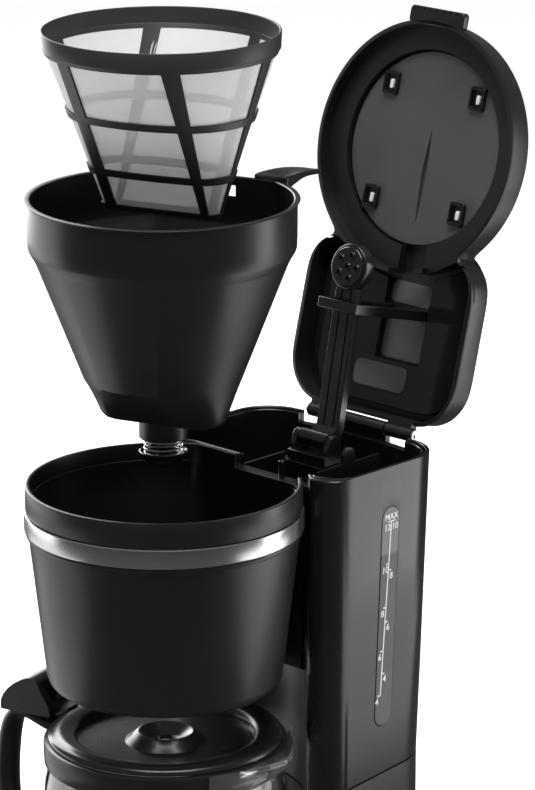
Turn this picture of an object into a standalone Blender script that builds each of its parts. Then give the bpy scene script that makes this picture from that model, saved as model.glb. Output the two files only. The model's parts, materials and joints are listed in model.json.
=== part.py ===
"""Drip coffee maker with a lift-out brew basket, modelled piece by piece.

Work frame: millimetres, z = 0 on the table, +Y to the rear, x = y = 0 on the brew housing's axis.
The lid stands open, and the basket and its filter are lifted above the housing.
centre_on_origin() finally moves the middle of the whole object's footprint to the origin.
"""
import bpy
import bmesh
from math import acos, asin, cos, degrees, pi, radians, sin, sqrt
from mathutils import Matrix, Vector

# ---- driving dimensions (mm, degrees) ----
M = 0.001             # millimetres to metres
GAP = 0.4             # clearance between pieces that touch
ROUND = 28            # sides of a large round piece
SMALL = 12            # sides of a small round piece

RIM_Z = 306.0         # housing rim above the table
HOUSING_DEPTH = 116.0
HOUSING_FLAT = 67.0   # rear flat of the housing
OUTLET_R = 46.0       # opening in the housing's floor
WALL = 2.4

COLUMN_ARC = 81.0     # concave front of the column, about the housing's axis
COLUMN_TOP_HW = 71.0  # half width at the rim
COLUMN_LOW_HW = 63.0  # half width at the seam and below
COLUMN_REAR = 157.0   # rear face beside the corner
REAR_CROWN = 3.5
REAR_CORNER = 26.0
COLUMN_FLAT = HOUSING_FLAT + GAP + 0.2
FLAT_CROWN = 1e-4     # slight crown of the flat front
SEAM_Z = 118.0        # seam between column and base at SEAM_Y
SEAM_Y = 89.0
SEAM_SLOPE = 0.095
FLOOR_Z = 112.0       # underside of the shelf that closes the base under the tank

BASE_R = 80.0
BASE_HW = 66.0
DECK_Z = 30.0
PLATE_Z = 38.0
COVER_Z = 5.0
TANK_INSET = 3.1
TANK_WALL = 1.8

HINGE_Y = 161.5
LID_ANGLE = 104.8     # opened from closed
LID_FLANGE = 1.1      # above the rim
LID_TOP = 18.3
LID_R = 73.5
LID_HW = 63.5
LID_REAR = 157.0
LID_WALL = 2.8

ARM_X = 8.0
ARM_PIVOT_Y = 114.8
ARM_PIVOT_Z = 1.7     # above the rim
ARM_LENGTH = 99.6
STRAP_Y = 94.7
STRAP_DROP = 50.0

BASKET_LIFT = 160.5   # lifted above its seat
BASKET_SEAT = 1.0     # basket rim above the housing rim when seated
BASKET_TURN = 18.0
BASKET_R = 75.3
BASKET_FLAT = 62.8
FILTER_R = 65.2
FILTER_HEIGHT = 101.0
FILTER_RISE = 92.9    # ring top above the basket's rim
CARAFE_AZIMUTH = 193.0

FILTER_HALF = 62.5    # radius of the filter's wall under its ring
SLOT_HALF = 30.4      # half length of the filter's bottom edge between its round ends
SLOT_R = 3.2          # radius of those ends
COLUMNS = 48          # grid columns round the filter
RIBS = 6

SCREW_SPOTS = [(-50.0, -45.0), (50.0, -45.0), (-50.0, 48.0), (50.0, 48.0)]
FOOT_SPOTS = [(-38.0, -58.0), (38.0, -58.0), (-45.0, 138.0), (45.0, 138.0)]
TUBE_SPOTS = [(-20.0, 128.0), (ARM_X, 128.0)]
TUBE_Z = 17.0
CONTROL_Z = 17.5      # height of the button and the lamp

GAUGE_Y = 110.0
GAUGE_TOP = RIM_Z - 24
GAUGE_FOOT = RIM_Z - 156
GAUGE_WIDTH = 14.0

BLACK = (0.018, 0.018, 0.02)
GREY = (0.42, 0.43, 0.44)
STEEL = (0.62, 0.63, 0.65)


# ---- general tools ----
def clear_scene():
    for old in list(bpy.data.objects):
        bpy.data.objects.remove(old, do_unlink=True)


def paint(obj, colour, roughness, metallic=0.0, clear=0.0):
    """Give the object a material of its own."""
    material = bpy.data.materials.new(obj.name)
    material.use_nodes = True
    shader = material.node_tree.nodes["Principled BSDF"]
    shader.inputs["Base Color"].default_value = (*colour, 1.0)
    shader.inputs["Roughness"].default_value = roughness
    shader.inputs["Metallic"].default_value = metallic
    shader.inputs["Transmission Weight"].default_value = clear
    obj.data.materials.clear()
    obj.data.materials.append(material)
    return obj


def solid(name, verts, faces):
    """A mesh object from points in millimetres, with its faces pointing out."""
    mesh = bpy.data.meshes.new(name)
    mesh.from_pydata([Vector(v) * M for v in verts], [], faces)
    bm = bmesh.new()
    bm.from_mesh(mesh)
    bmesh.ops.recalc_face_normals(bm, faces=bm.faces)
    bm.to_mesh(mesh)
    bm.free()
    obj = bpy.data.objects.new(name, mesh)
    bpy.context.collection.objects.link(obj)
    return obj


def skin(name, rings, closed=False):
    """Join rings of equal length; a closed skin runs back to its first ring, an open one is capped."""
    count = len(rings[0])
    verts = [point for ring in rings for point in ring]
    faces = []
    for i in range(len(rings) if closed else len(rings) - 1):
        a = i * count
        b = (i + 1) % len(rings) * count
        for k in range(count):
            n = (k + 1) % count
            faces.append((a + k, a + n, b + n, b + k))
    if not closed:
        faces.append(tuple(range(count)))
        faces.append(tuple(range(len(verts) - count, len(verts))))
    return solid(name, verts, faces)


def ring_of(outline, z):
    return [(x, y, z) for x, y in outline]


def prism(name, outline, low, high):
    return skin(name, [ring_of(outline, low), ring_of(outline, high)])


def circle(radius, x=0.0, y=0.0, sides=ROUND):
    return [(x + radius * cos(2 * pi * k / sides), y + radius * sin(2 * pi * k / sides))
            for k in range(sides)]


def turned(name, profile, x=0.0, y=0.0, sides=ROUND):
    """Turn a profile of (radius, z): a closed loop, or a line that starts and ends on the axis."""
    on_axis = profile[0][0] == 0.0
    inner = profile[1:-1] if on_axis else profile
    rings = [ring_of(circle(r, x, y, sides), z) for r, z in inner]
    if not on_axis:
        return skin(name, rings, closed=True)
    return skin(name, rings)


def disc(name, radius, low, high, x=0.0, y=0.0, sides=SMALL):
    return prism(name, circle(radius, x, y, sides), low, high)


def box(name, x0, x1, y0, y1, z0, z1):
    return prism(name, [(x0, y0), (x1, y0), (x1, y1), (x0, y1)], z0, z1)


def arc_points(cx, cy, radius, start, end, count):
    """Points on an arc between two angles in degrees, ends included."""
    step = (end - start) / (count - 1)
    angles = [radians(start + step * k) for k in range(count)]
    return [(cx + radius * cos(a), cy + radius * sin(a)) for a in angles]


def turned_along(name, profile, origin, axis, sides=SMALL):
    """Turn a profile about any axis: its z runs along the axis from the origin."""
    obj = turned(name, profile, sides=sides)
    turn = Vector(axis).to_track_quat("Z", "Y").to_matrix().to_4x4()
    obj.data.transform(Matrix.Translation(Vector(origin) * M) @ turn)
    return obj


def rod(name, radius, start, end, sides=SMALL):
    span = Vector(end) - Vector(start)
    profile = [(0.0, 0.0), (radius, 0.0), (radius, span.length), (0.0, span.length)]
    return turned_along(name, profile, start, span, sides)


def pipe(name, path, radius, bore=0.0, sides=8):
    """A tube along a path of points, mitred at each bend."""
    points = [Vector(p) for p in path]
    rings = []
    holes = []
    side = None
    for i, point in enumerate(points):
        before = (point - points[i - 1]).normalized() if i else None
        after = (points[i + 1] - point).normalized() if i + 1 < len(points) else None
        along = ((before or after) + (after or before)).normalized()
        if side is None:
            side = along.orthogonal().normalized()
        side = (side - along * side.dot(along)).normalized()
        other = along.cross(side)
        turn = [2 * pi * k / sides for k in range(sides)]
        rings.append([point + (side * cos(a) + other * sin(a)) * radius for a in turn])
        holes.append([point + (side * cos(a) + other * sin(a)) * bore for a in turn])
    if bore:
        return skin(name, rings + holes[::-1], closed=True)
    return skin(name, rings)


def boolean(obj, operation, tools):
    """Apply one boolean per tool and remove the tools."""
    for tool in tools:
        modifier = obj.modifiers.new("boolean", "BOOLEAN")
        modifier.operation = operation
        modifier.object = tool
        bpy.context.view_layer.update()
        graph = bpy.context.evaluated_depsgraph_get()
        result = bpy.data.meshes.new_from_object(obj.evaluated_get(graph))
        obj.modifiers.clear()
        obj.data = result
        bpy.data.objects.remove(tool, do_unlink=True)
    return obj


def cut(obj, *tools):
    return boolean(obj, "DIFFERENCE", tools)


def fuse(obj, *tools):
    return boolean(obj, "UNION", tools)


def smooth(obj, angle=35.0):
    obj.data.shade_smooth()
    obj.data.set_sharp_from_angle(angle=radians(angle))
    return obj


def pivot_on(name, pivot, rotation, pieces):
    """Hang pieces, modelled in their closed place, on an empty on their joint's axis and turn it."""
    empty = bpy.data.objects.new(name, None)
    bpy.context.collection.objects.link(empty)
    empty.location = Vector(pivot) * M
    empty.rotation_euler = rotation
    for piece in pieces:
        piece.data.transform(Matrix.Translation(-Vector(pivot) * M))
        piece.parent = empty
    return empty


# ---- outlines, as (x, y) points ----
def d_outline(radius, flat, count=ROUND):
    """A circle cut off at y = flat, with points on both corners, or a whole circle inside the flat."""
    corner = degrees(asin(flat / radius)) if flat < radius else 62.0
    around = arc_points(0, 0, radius, 180 - corner, 360 + corner, count - 6)
    if flat >= radius:
        return around + arc_points(0, 0, radius, corner, 180 - corner, 8)[1:-1]
    x = around[-1][0]
    across = [(x - 2 * x * k / 7, flat) for k in range(1, 7)]
    return around + across


def stadium(length, width, count=ROUND):
    """A slot shape along x, its points spread like those of d_outline."""
    half = (length - width) / 2
    points = []
    for k in range(count):
        angle = radians(135 + 360 * k / count)
        shift = max(-half, min(half, 1.6 * half * cos(angle)))
        points.append((shift + cos(angle) * width / 2, sin(angle) * width / 2))
    return points


def column_half_width(z):
    if z <= SEAM_Z:
        return COLUMN_LOW_HW
    return COLUMN_LOW_HW + (COLUMN_TOP_HW - COLUMN_LOW_HW) * (z - SEAM_Z) / (RIM_Z - SEAM_Z)


def column_outline(z, inset, flat):
    """The column's section: concave front cut off at y = flat, rounded corners, crowned rear."""
    hw = column_half_width(z) - inset
    arc = COLUMN_ARC + inset
    start_x = hw - 17.0
    start_y = sqrt(arc ** 2 - start_x ** 2)
    side_y = start_y + 13.0
    rear = COLUMN_REAR - inset
    corner = REAR_CORNER - inset
    half = []
    for k in range(9):
        x = start_x * k / 8
        half.append((x, min(sqrt(arc ** 2 - x ** 2), flat + inset - FLAT_CROWN * x ** 2)))
    half += [(start_x + 17.0 * sin(a), side_y - 13.0 * cos(a)) for a in (pi / 8, pi / 4, 3 * pi / 8, pi / 2)]
    half += arc_points(hw - corner, rear - corner, corner, 0, 90, 6)
    for k in (2, 1):
        x = (hw - corner) * k / 3
        half.append((x, rear + REAR_CROWN * (1 - (k / 3) ** 2)))
    half.append((0.0, rear + REAR_CROWN))
    mirrored = [(-x, y) for x, y in half[-2:0:-1]]
    return half + mirrored


def seam(y):
    return SEAM_Z + (y - SEAM_Y) * SEAM_SLOPE


def base_outline(inset):
    """The base's section: a round front that runs into straight sides and a crowned rear."""
    radius = BASE_R - inset
    hw = BASE_HW - inset
    turn = degrees(acos(hw / radius))
    rear = COLUMN_REAR + 1.0 - inset
    corner = 28.0 - inset
    front = arc_points(0, 0, radius, -180 - turn, turn, 23)
    right = arc_points(hw - corner, rear - corner, corner, 0, 90, 6)
    left = [(-x, y) for x, y in right[::-1]]
    return front + right + [(0.0, rear + REAR_CROWN)] + left


def lid_outline(inset):
    """The lid's section: a round front, a neck on each side and a wide rear part."""
    radius = LID_R - inset
    hw = LID_HW - inset
    rear = LID_REAR - inset
    neck = 52.0
    front = arc_points(0, 0, radius, -180 - neck, neck, 25)
    corner = 14.0
    start = front[-1]
    right = [(hw, start[1] + 22.0)]
    swing = [(start[0] + (hw - start[0]) * sin(a), start[1] + 22.0 - 20.0 * cos(a))
             for a in (pi / 8, pi / 4, 3 * pi / 8)]
    rear_corner = arc_points(hw - 2 * corner + inset, rear - 2 * corner + inset, 2 * corner - inset, 0, 90, 6)
    side = swing + right + rear_corner
    return front + side + [(-x, y) for x, y in side[::-1]]


# ---- base ----
def make_base():
    low = skin("base_housing", [ring_of(base_outline(1.2), COVER_Z), ring_of(base_outline(0), COVER_Z + 2),
                                ring_of(base_outline(0), DECK_Z - 2.5), ring_of(base_outline(2), DECK_Z)])
    tall_top = [(x, y, seam(y) - GAP / 2) for x, y in column_outline(SEAM_Z, 0, COLUMN_ARC)]
    tall = skin("tall", [ring_of(column_outline(0, 0, COLUMN_ARC), DECK_Z - 6), tall_top])
    fuse(low, tall)
    inner_low = prism("inner_low", base_outline(2.6), COVER_Z - 1, DECK_Z - 2.6)
    inner_tall = prism("inner_tall", column_outline(0, 2.6, COLUMN_ARC), DECK_Z - 6, FLOOR_Z)
    tank_seat = prism("tank_seat", column_outline(0, 2.6, COLUMN_ARC), FLOOR_Z + 2.6, RIM_Z)
    deck_hole = disc("deck_hole", 57.0, DECK_Z - 6, DECK_Z + 3, sides=ROUND)
    button_hole = rod("button_hole", 9.4, (0, -90, CONTROL_Z), (0, -70, CONTROL_Z), sides=16)
    lens_hole = rod("lens_hole", 2.4, (16, -90, CONTROL_Z), (16, -65, CONTROL_Z), sides=12)
    gland_hole = rod("gland_hole", 6.4, (-42, 140, 22), (-42, 170, 22))
    tube_holes = [disc("tube_hole", 5.6, FLOOR_Z - 2, FLOOR_Z + 4, x, y) for x, y in TUBE_SPOTS]
    cut(low, inner_low, inner_tall, tank_seat, deck_hole, button_hole, lens_hole, gland_hole, *tube_holes)
    posts = [disc("post", 4.5, COVER_Z + 3.2, DECK_Z - 1, x, y, 8) for x, y in SCREW_SPOTS]
    fuse(low, *posts)
    cut(low, *[disc("bore", 2.0, COVER_Z, 16.0, x, y, 8) for x, y in SCREW_SPOTS])
    paint(smooth(low), BLACK, 0.32)


def make_underside():
    cover = prism("bottom_cover", base_outline(3.0), COVER_Z + 0.2, COVER_Z + 2.8)
    holes = [disc("hole", 2.0, COVER_Z - 1, COVER_Z + 4, x, y, 8) for x, y in SCREW_SPOTS]
    vents = [box("vent", x - 2, x + 2, -16, 16, COVER_Z - 1, COVER_Z + 4) for x in (-24, -12, 0, 12, 24)]
    cut(cover, *holes, *vents)
    paint(smooth(cover), BLACK, 0.6)
    for number, (x, y) in enumerate(SCREW_SPOTS, 1):
        head = COVER_Z - 1.6
        profile = [(0, head), (3.2, head), (3.2, COVER_Z - 0.2), (1.5, COVER_Z - 0.2), (1.5, 14.0), (0, 14.0)]
        paint(smooth(turned(f"bottom_screw_{number}", profile, x, y, 8)), STEEL, 0.35, 1.0)
    for number, (x, y) in enumerate(FOOT_SPOTS, 1):
        profile = [(0, 0), (8.0, 0), (9.0, 1.2), (9.0, COVER_Z - GAP / 2), (0, COVER_Z - GAP / 2)]
        paint(smooth(turned(f"foot_{number}", profile, x, y, 14)), (0.03, 0.03, 0.03), 0.8)


def make_hot_plate():
    top = PLATE_Z
    plate = turned("warming_plate", [(0, top - 1), (57, top - 1), (60, top), (63, top), (65, top - 2),
                                     (65, top - 5), (63.4, top - 5), (63.4, top - 2.6), (0, top - 2.6)])
    paint(smooth(plate), (0.05, 0.05, 0.055), 0.3, 0.6)
    ring = [(58.5, DECK_Z + GAP), (62.5, DECK_Z + GAP), (62.5, top - 3), (58.5, top - 3)]
    paint(smooth(turned("plate_seal", ring)), (0.03, 0.03, 0.03), 0.8)
    height = top - 7.2
    loop = [(x, y, height) for x, y in arc_points(0, 0, 40, 115, 425, 17)]
    ends = [(-14, 45, height - 2), (-14, 54, TUBE_Z), (-14, 62, TUBE_Z)]
    mirror = [(-x, y, z) for x, y, z in ends]
    paint(smooth(pipe("heating_element", ends[::-1] + loop + mirror, 4.0)), STEEL, 0.4, 1.0)
    paint(smooth(disc("thermostat", 9.0, top - 10, top - 3, 0, -10)), STEEL, 0.5, 1.0)
    paint(smooth(rod("thermal_fuse", 2.4, (-8, 14, top - 6), (8, 14, top - 6))), (0.7, 0.68, 0.6), 0.7)


def make_water_path():
    valve = rod("check_valve", 6.4, (-14, 62.5, TUBE_Z), (-14, 78, TUBE_Z))
    paint(smooth(valve), (0.75, 0.75, 0.72), 0.5)
    cold_x, cold_y = TUBE_SPOTS[0]
    hot_x, hot_y = TUBE_SPOTS[1]
    cold = [(-14, 78.5, TUBE_Z), (-14, 108, TUBE_Z), (cold_x, cold_y, 38), (cold_x, cold_y, FLOOR_Z + 2.2)]
    paint(smooth(pipe("cold_water_tube", cold, 5.0, 3.4)), (0.8, 0.8, 0.78), 0.6)
    hot = [(14, 62.5, TUBE_Z), (14, 108, TUBE_Z), (hot_x, hot_y, 38), (hot_x, hot_y, FLOOR_Z - 1)]
    paint(smooth(pipe("hot_water_tube", hot, 5.0, 3.4)), (0.8, 0.8, 0.78), 0.6)
    riser = [(hot_x, hot_y, FLOOR_Z), (hot_x, hot_y, RIM_Z - 70), (ARM_X, 117, RIM_Z - 42), (ARM_X, 117, RIM_Z - 14)]
    paint(smooth(pipe("riser_tube", riser, 4.6, 3.2)), (0.5, 0.5, 0.5), 0.4)


def make_controls():
    z = CONTROL_Z
    bezel = [(7.2, 0), (9.0, 0), (9.0, 3.4), (10.6, 3.4), (10.2, 4.6), (7.2, 4.6)]
    paint(smooth(turned_along("button_bezel", bezel, (0, -77.2, z), (0, -1, 0), 16)), STEEL, 0.25, 1.0)
    button = [(0, 0), (6.8, 0), (6.8, 9.0), (5.8, 9.8), (0, 9.8)]
    paint(smooth(turned_along("power_button", button, (0, -74.0, z), (0, -1, 0), 16)), BLACK, 0.35)
    paint(smooth(box("switch_body", -9, 9, -71.5, -62, z - 7, z + 7)), (0.1, 0.1, 0.1), 0.6)
    lens = [(0, 0), (2.0, 0), (2.0, 5.0), (1.2, 5.6), (0, 5.6)]
    lens_obj = turned_along("indicator_lens", lens, (16, -74.0, z), (0, -1, 0), 12)
    paint(smooth(lens_obj), (0.5, 0.06, 0.04), 0.2, 0.0, 0.6)
    gland = [(3.6, 0), (6.0, 0), (6.0, 6.0), (8.5, 6.0), (7.5, 10.0), (3.6, 10.0)]
    paint(smooth(turned_along("cord_gland", gland, (-42, 154.6, 22), (0, 1, 0), 14)), BLACK, 0.6)


# ---- column and tank ----
def make_column():
    shoulder = RIM_Z - HOUSING_DEPTH - 1
    outer_foot = [(x, y, seam(y) + GAP / 2) for x, y in column_outline(SEAM_Z, 0, COLUMN_ARC)]
    inner_foot = [(x, y, seam(y) + GAP / 2) for x, y in column_outline(SEAM_Z, WALL, COLUMN_ARC)]
    low = shoulder - 1.0
    high = shoulder + WALL
    rings = [outer_foot, ring_of(column_outline(low, 0, COLUMN_ARC), low),
             ring_of(column_outline(shoulder, 0, COLUMN_FLAT), shoulder),
             ring_of(column_outline(RIM_Z, 0, COLUMN_FLAT), RIM_Z),
             ring_of(column_outline(RIM_Z, WALL, COLUMN_FLAT), RIM_Z),
             ring_of(column_outline(high, WALL, COLUMN_FLAT), high),
             ring_of(column_outline(high - 1, WALL, COLUMN_ARC), high - 1), inner_foot]
    shell = skin("column_shell", rings, closed=True)
    handle_notch = box("handle_notch", -8, 48, 55, 76, RIM_Z - 8, RIM_Z + 5)
    hinge_notch = box("hinge_notch", -41.5, 41.5, 148, 175, RIM_Z - 7, RIM_Z + 5)
    cut(shell, handle_notch, hinge_notch, gauge_slug("slot", 0.35, 9.0))
    paint(smooth(shell), BLACK, 0.12)
    window = gauge_slug("water_window", 0.0, 1.6)
    paint(smooth(window), (0.6, 0.62, 0.62), 0.1, 0.0, 0.7)


def gauge_slug(name, margin, depth):
    """The gauge window's round-ended plate, leaning with the column's side."""
    half = GAUGE_WIDTH / 2 + margin
    top = GAUGE_TOP - GAUGE_WIDTH / 2
    foot = GAUGE_FOOT + GAUGE_WIDTH / 2
    loop = [(GAUGE_Y + half * cos(a), top + half * sin(a)) for a in (pi * k / 8 for k in range(9))]
    loop += [(GAUGE_Y - half * cos(a), foot - half * sin(a)) for a in (pi * k / 8 for k in range(9))]
    inner = [(column_half_width(z) - depth - 0.5, y, z) for y, z in loop]
    outer = [(column_half_width(z) + (0.5 if depth < 5 else 5.0), y, z) for y, z in loop]
    return skin(name, [inner, outer])


def make_tank():
    shoulder = RIM_Z - HOUSING_DEPTH + 3.0
    top = RIM_Z - 1.2
    floor = FLOOR_Z + 3.0
    inner = TANK_INSET + TANK_WALL

    def ring(z, inset, flat):
        return ring_of(column_outline(z, inset, flat), z)

    rings = [ring_of(column_outline(0, TANK_INSET, COLUMN_ARC), floor), ring(shoulder, TANK_INSET, COLUMN_ARC),
             ring(shoulder + 0.5, TANK_INSET, COLUMN_FLAT), ring(top, TANK_INSET, COLUMN_FLAT),
             ring(top, inner, COLUMN_FLAT), ring(shoulder + 2.5, inner, COLUMN_FLAT),
             ring(shoulder + 2, inner, COLUMN_ARC), ring_of(column_outline(0, inner, COLUMN_ARC), floor + 2)]
    tank = skin("reservoir_tank", rings)
    front = COLUMN_FLAT + TANK_INSET + 0.6
    partition = box("partition", 48.2, 49.7, front, 122, RIM_Z - 60, RIM_Z)
    rail = box("rail", -11.2, -9.7, front, 108, RIM_Z - 60, RIM_Z - 8)
    shelf = box("shelf", -11.0, 49.0, 103, 127, RIM_Z - 13, RIM_Z - 11)
    fuse(tank, partition, rail, shelf, tab_plate())
    notch = box("notch", -8, 48, 60, 73.6, RIM_Z - 8, RIM_Z + 5)
    hinge_notch = box("hinge_notch", -41.5, 41.5, 148, 175, RIM_Z - 7, RIM_Z + 5)
    holes = [disc("hole", 5.2, floor - 2, floor + 4, x, y, 16) for x, y in TUBE_SPOTS]
    cut(tank, notch, hinge_notch, *holes, disc("riser_hole", 5.2, RIM_Z - 16, RIM_Z - 9, ARM_X, 117, 16))
    fuse(tank, disc("post", 1.8, RIM_Z - 14, RIM_Z + 0.8, 21, 72.5, 12))
    paint(smooth(tank), (0.03, 0.03, 0.032), 0.3)


def tab_plate():
    """The rounded tab that stands on the partition."""
    loop = [(92.0, RIM_Z - 2.0), (102.0, RIM_Z - 2.0)]
    loop += [(97.0 + 5.0 * cos(a), RIM_Z + 4.0 + 5.0 * sin(a)) for a in (pi * k / 8 for k in range(9))]
    return skin("tab", [[(48.2, y, z) for y, z in loop], [(49.7, y, z) for y, z in loop]])


def make_housing():
    """D-shaped bowl: outside up, over the rim, inside down to the slot in its floor."""
    low = RIM_Z - HOUSING_DEPTH
    rim = RIM_Z
    flat = HOUSING_FLAT
    outside = [(60, low), (64.5, low + 2), (66, low + 6), (75.3, rim - 29), (76.8, rim - 28),
               (77, rim - 26), (76.1, rim - 25.8), (76.1, rim - 14.2), (77, rim - 14), (77, rim)]
    inside = [(74.4, rim), (74.4, rim - 26), (72.2, rim - 31), (63.6, low + 7), (60.5, low + 2.8)]
    rings = [ring_of(d_outline(OUTLET_R, OUTLET_R - 1), low)]
    rings += [ring_of(d_outline(r, flat), z) for r, z in outside]
    rings += [ring_of(d_outline(r, flat - 2.5), z) for r, z in inside]
    rings += [ring_of(d_outline(OUTLET_R, OUTLET_R - 1), low + 2.8)]
    housing = skin("brew_housing", rings, closed=True)
    cut(housing, box("handle_notch", -8, 48, 52, 70, RIM_Z - 8, RIM_Z + 5))
    paint(smooth(housing), BLACK, 0.3)


def make_trim_band():
    rings = []
    for x, y in arc_points(0, 0, 1.0, -225, 45, 28):
        loop = [(76.5, RIM_Z - 25.4), (77.5, RIM_Z - 25.4), (77.7, RIM_Z - 24.8), (77.7, RIM_Z - 15.2),
                (77.5, RIM_Z - 14.6), (76.5, RIM_Z - 14.6)]
        rings.append([(r * x, r * y, z) for r, z in loop])
    paint(smooth(skin("trim_band", rings)), (0.75, 0.76, 0.78), 0.2, 1.0)


# ---- lid ----
def make_lid():
    low = RIM_Z + LID_FLANGE
    top = RIM_Z + LID_TOP
    ceiling = top - 2.5
    shell = skin("lid_shell", [ring_of(lid_outline(0), low), ring_of(lid_outline(0), top - 2.2),
                               ring_of(lid_outline(1.6), top)])
    tab = box("tab", -20.5, 20.5, -80.2, -70.0, low, low + 5.0)
    barrels = [rod("barrel", 4.0, (20.5 * s, HINGE_Y, RIM_Z), (40.0 * s, HINGE_Y, RIM_Z)) for s in (-1, 1)]
    ears = [box("ear", min(21 * s, 39 * s), max(21 * s, 39 * s), 154, HINGE_Y, RIM_Z - 2, RIM_Z + 3) for s in (-1, 1)]
    fuse(shell, tab, *barrels, *ears)
    round_room = disc("round_room", LID_R - LID_WALL, low - 3, top - 9.4, sides=ROUND)
    disc_room = disc("disc_room", 57.0, low - 3, ceiling, sides=ROUND)
    rear_room = cover_room(LID_R, low - 3, ceiling)
    neck_gap = box("neck_gap", -1.5, 17.5, 50, 80, low - 1, ceiling)
    handle_gap = box("handle_gap", 23.5, 47, 50, 80, low - 1, low + 4.6)
    pin_hole = rod("pin_hole", 2.0, (-50, HINGE_Y, RIM_Z), (50, HINGE_Y, RIM_Z))
    cut(shell, round_room, disc_room, rear_room, neck_gap, handle_gap, pin_hole)
    paint(smooth(shell), BLACK, 0.3)

    inner = disc("lid_inner_disc", 56.0, top - 6.1, ceiling - GAP, sides=ROUND)
    clips = [box("clip", x - 5.5, x + 5.5, y - 7, y + 7, top - 8.6, top - 4) for x in (-33, 33) for y in (-33.5, 33.5)]
    fuse(inner, *clips)
    slit = [(2.5 + 2.0 * cos(a), 16 + 28 * sin(a)) for a in (2 * pi * k / 20 for k in range(20))]
    cut(inner, prism("slit", slit, low, top))
    paint(smooth(inner), GREY, 0.45)

    panel = cover_room(LID_R + 3.0, top - 7.0, ceiling - GAP, 1.2)
    panel.name = "lid_cover_panel"
    strap_room = box("strap_room", -9, 25, 60, 124, low, top)
    cut(panel, strap_room)
    paint(smooth(panel), GREY, 0.3, 0.3)
    strap = make_strap(ceiling - GAP)
    pin = rod("lid_hinge_pin", 1.6, (-43, HINGE_Y, RIM_Z), (43, HINGE_Y, RIM_Z))
    paint(smooth(pin), STEEL, 0.3, 1.0)
    pieces = [shell, inner, panel, strap]
    pivot_on("lid_axis", (0, HINGE_Y, RIM_Z), (-radians(LID_ANGLE), 0, 0), pieces)


def cover_room(front_radius, low, high, shrink=0.0):
    """The space inside the lid's rear part, behind the neck's round wall."""
    hw = LID_HW - LID_WALL - shrink
    rear = LID_REAR - LID_WALL - shrink
    edge = degrees(acos(min(1.0, 44.0 / front_radius)))
    front = arc_points(0, 0, front_radius, edge, 180 - edge, 15)
    right = [(hw, front[0][1] + 22.0)] + arc_points(hw - 24, rear - 24, 24, 0, 90, 6)
    left = [(-x, y) for x, y in right[::-1]]
    outline = right + left + front[::-1]
    return prism("cover_room", outline, low, high)


def make_strap(top):
    """U-shaped strap under the lid that lifts the shower arm."""
    foot = RIM_Z + LID_FLANGE - STRAP_DROP
    loop = [(-6.5, top), (-6.5, foot), (22.5, foot), (22.5, top), (20.3, top), (20.3, foot + 2.6),
            (-4.3, foot + 2.6), (-4.3, top)]
    strap = skin("arm_strap", [[(x, STRAP_Y - 3, z) for x, z in loop], [(x, STRAP_Y + 3, z) for x, z in loop]])
    return paint(smooth(strap), BLACK, 0.3)


def make_hinge_bracket():
    knuckle = rod("hinge_bracket", 4.0, (-19.5, HINGE_Y, RIM_Z), (19.5, HINGE_Y, RIM_Z))
    plate = box("plate", -19.5, 19.5, COLUMN_REAR + REAR_CROWN + GAP, HINGE_Y + 3.0, RIM_Z - 28, RIM_Z - 0.5)
    fuse(knuckle, plate)
    cut(knuckle, rod("hole", 2.0, (-30, HINGE_Y, RIM_Z), (30, HINGE_Y, RIM_Z)))
    paint(smooth(knuckle), BLACK, 0.4)


# ---- shower arm ----
def make_arm_bracket():
    base = RIM_Z - 10.6
    block = box("arm_bracket", -6.5, 22.5, 106, 120, base, RIM_Z - 5.2)
    cheeks = [box("cheek", x, x + 3.6, 108, 120, base, RIM_Z + 6.0) for x in (-6.5, 18.9)]
    fuse(block, *cheeks)
    y = ARM_PIVOT_Y
    z = RIM_Z + ARM_PIVOT_Z
    cut(block, rod("hole", 2.0, (-12, y, z), (30, y, z)), disc("bore", 3.2, base - 1, RIM_Z, ARM_X, 117, 12))
    paint(smooth(block), (0.03, 0.03, 0.03), 0.3)
    paint(smooth(rod("arm_pivot_pin", 1.6, (-6.3, y, z), (22.3, y, z))), STEEL, 0.3, 1.0)


def make_shower_arm():
    """The arm in its closed place: barrel, tapering beam and round head."""
    y = ARM_PIVOT_Y
    z = RIM_Z + ARM_PIVOT_Z
    arm = rod("shower_arm", 4.8, (ARM_X - 10.2, y, z), (ARM_X + 10.2, y, z), 20)
    side = [(3.0, 0.5), (3.4, 9.0), (0.0, 12.6), (-88.0, 7.2), (-88.0, 1.8), (-8.0, 6.8), (-4.0, 3.0)]
    beam = skin("beam", [[(x, y + dy, z + dz) for dy, dz in side] for x in (ARM_X - 8.4, ARM_X + 8.4)])
    head = disc("head", 13.2, z + 1.2, z + 8.4, ARM_X, y - ARM_LENGTH, 32)
    fuse(arm, beam, head)
    cut(arm, rod("hole", 2.0, (-12, y, z), (30, y, z)))
    paint(smooth(arm), (0.035, 0.035, 0.037), 0.35)
    face = disc("shower_face", 11.4, z - 0.6, z + 1.2 - GAP / 2, ARM_X, y - ARM_LENGTH, 18)
    spots = [(0.0, 0.0)] + [(6.6 * cos(a), 6.6 * sin(a)) for a in (2 * pi * k / 5 for k in range(5))]
    holes = [disc("hole", 1.3, z - 2, z + 3, ARM_X + dx, y - ARM_LENGTH + dy, 6) for dx, dy in spots]
    cut(face, *holes)
    paint(smooth(face), (0.05, 0.05, 0.05), 0.4)
    pivot_on("arm_axis", (ARM_X, y, z), (-radians(LID_ANGLE), 0, 0), [arm, face])


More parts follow.
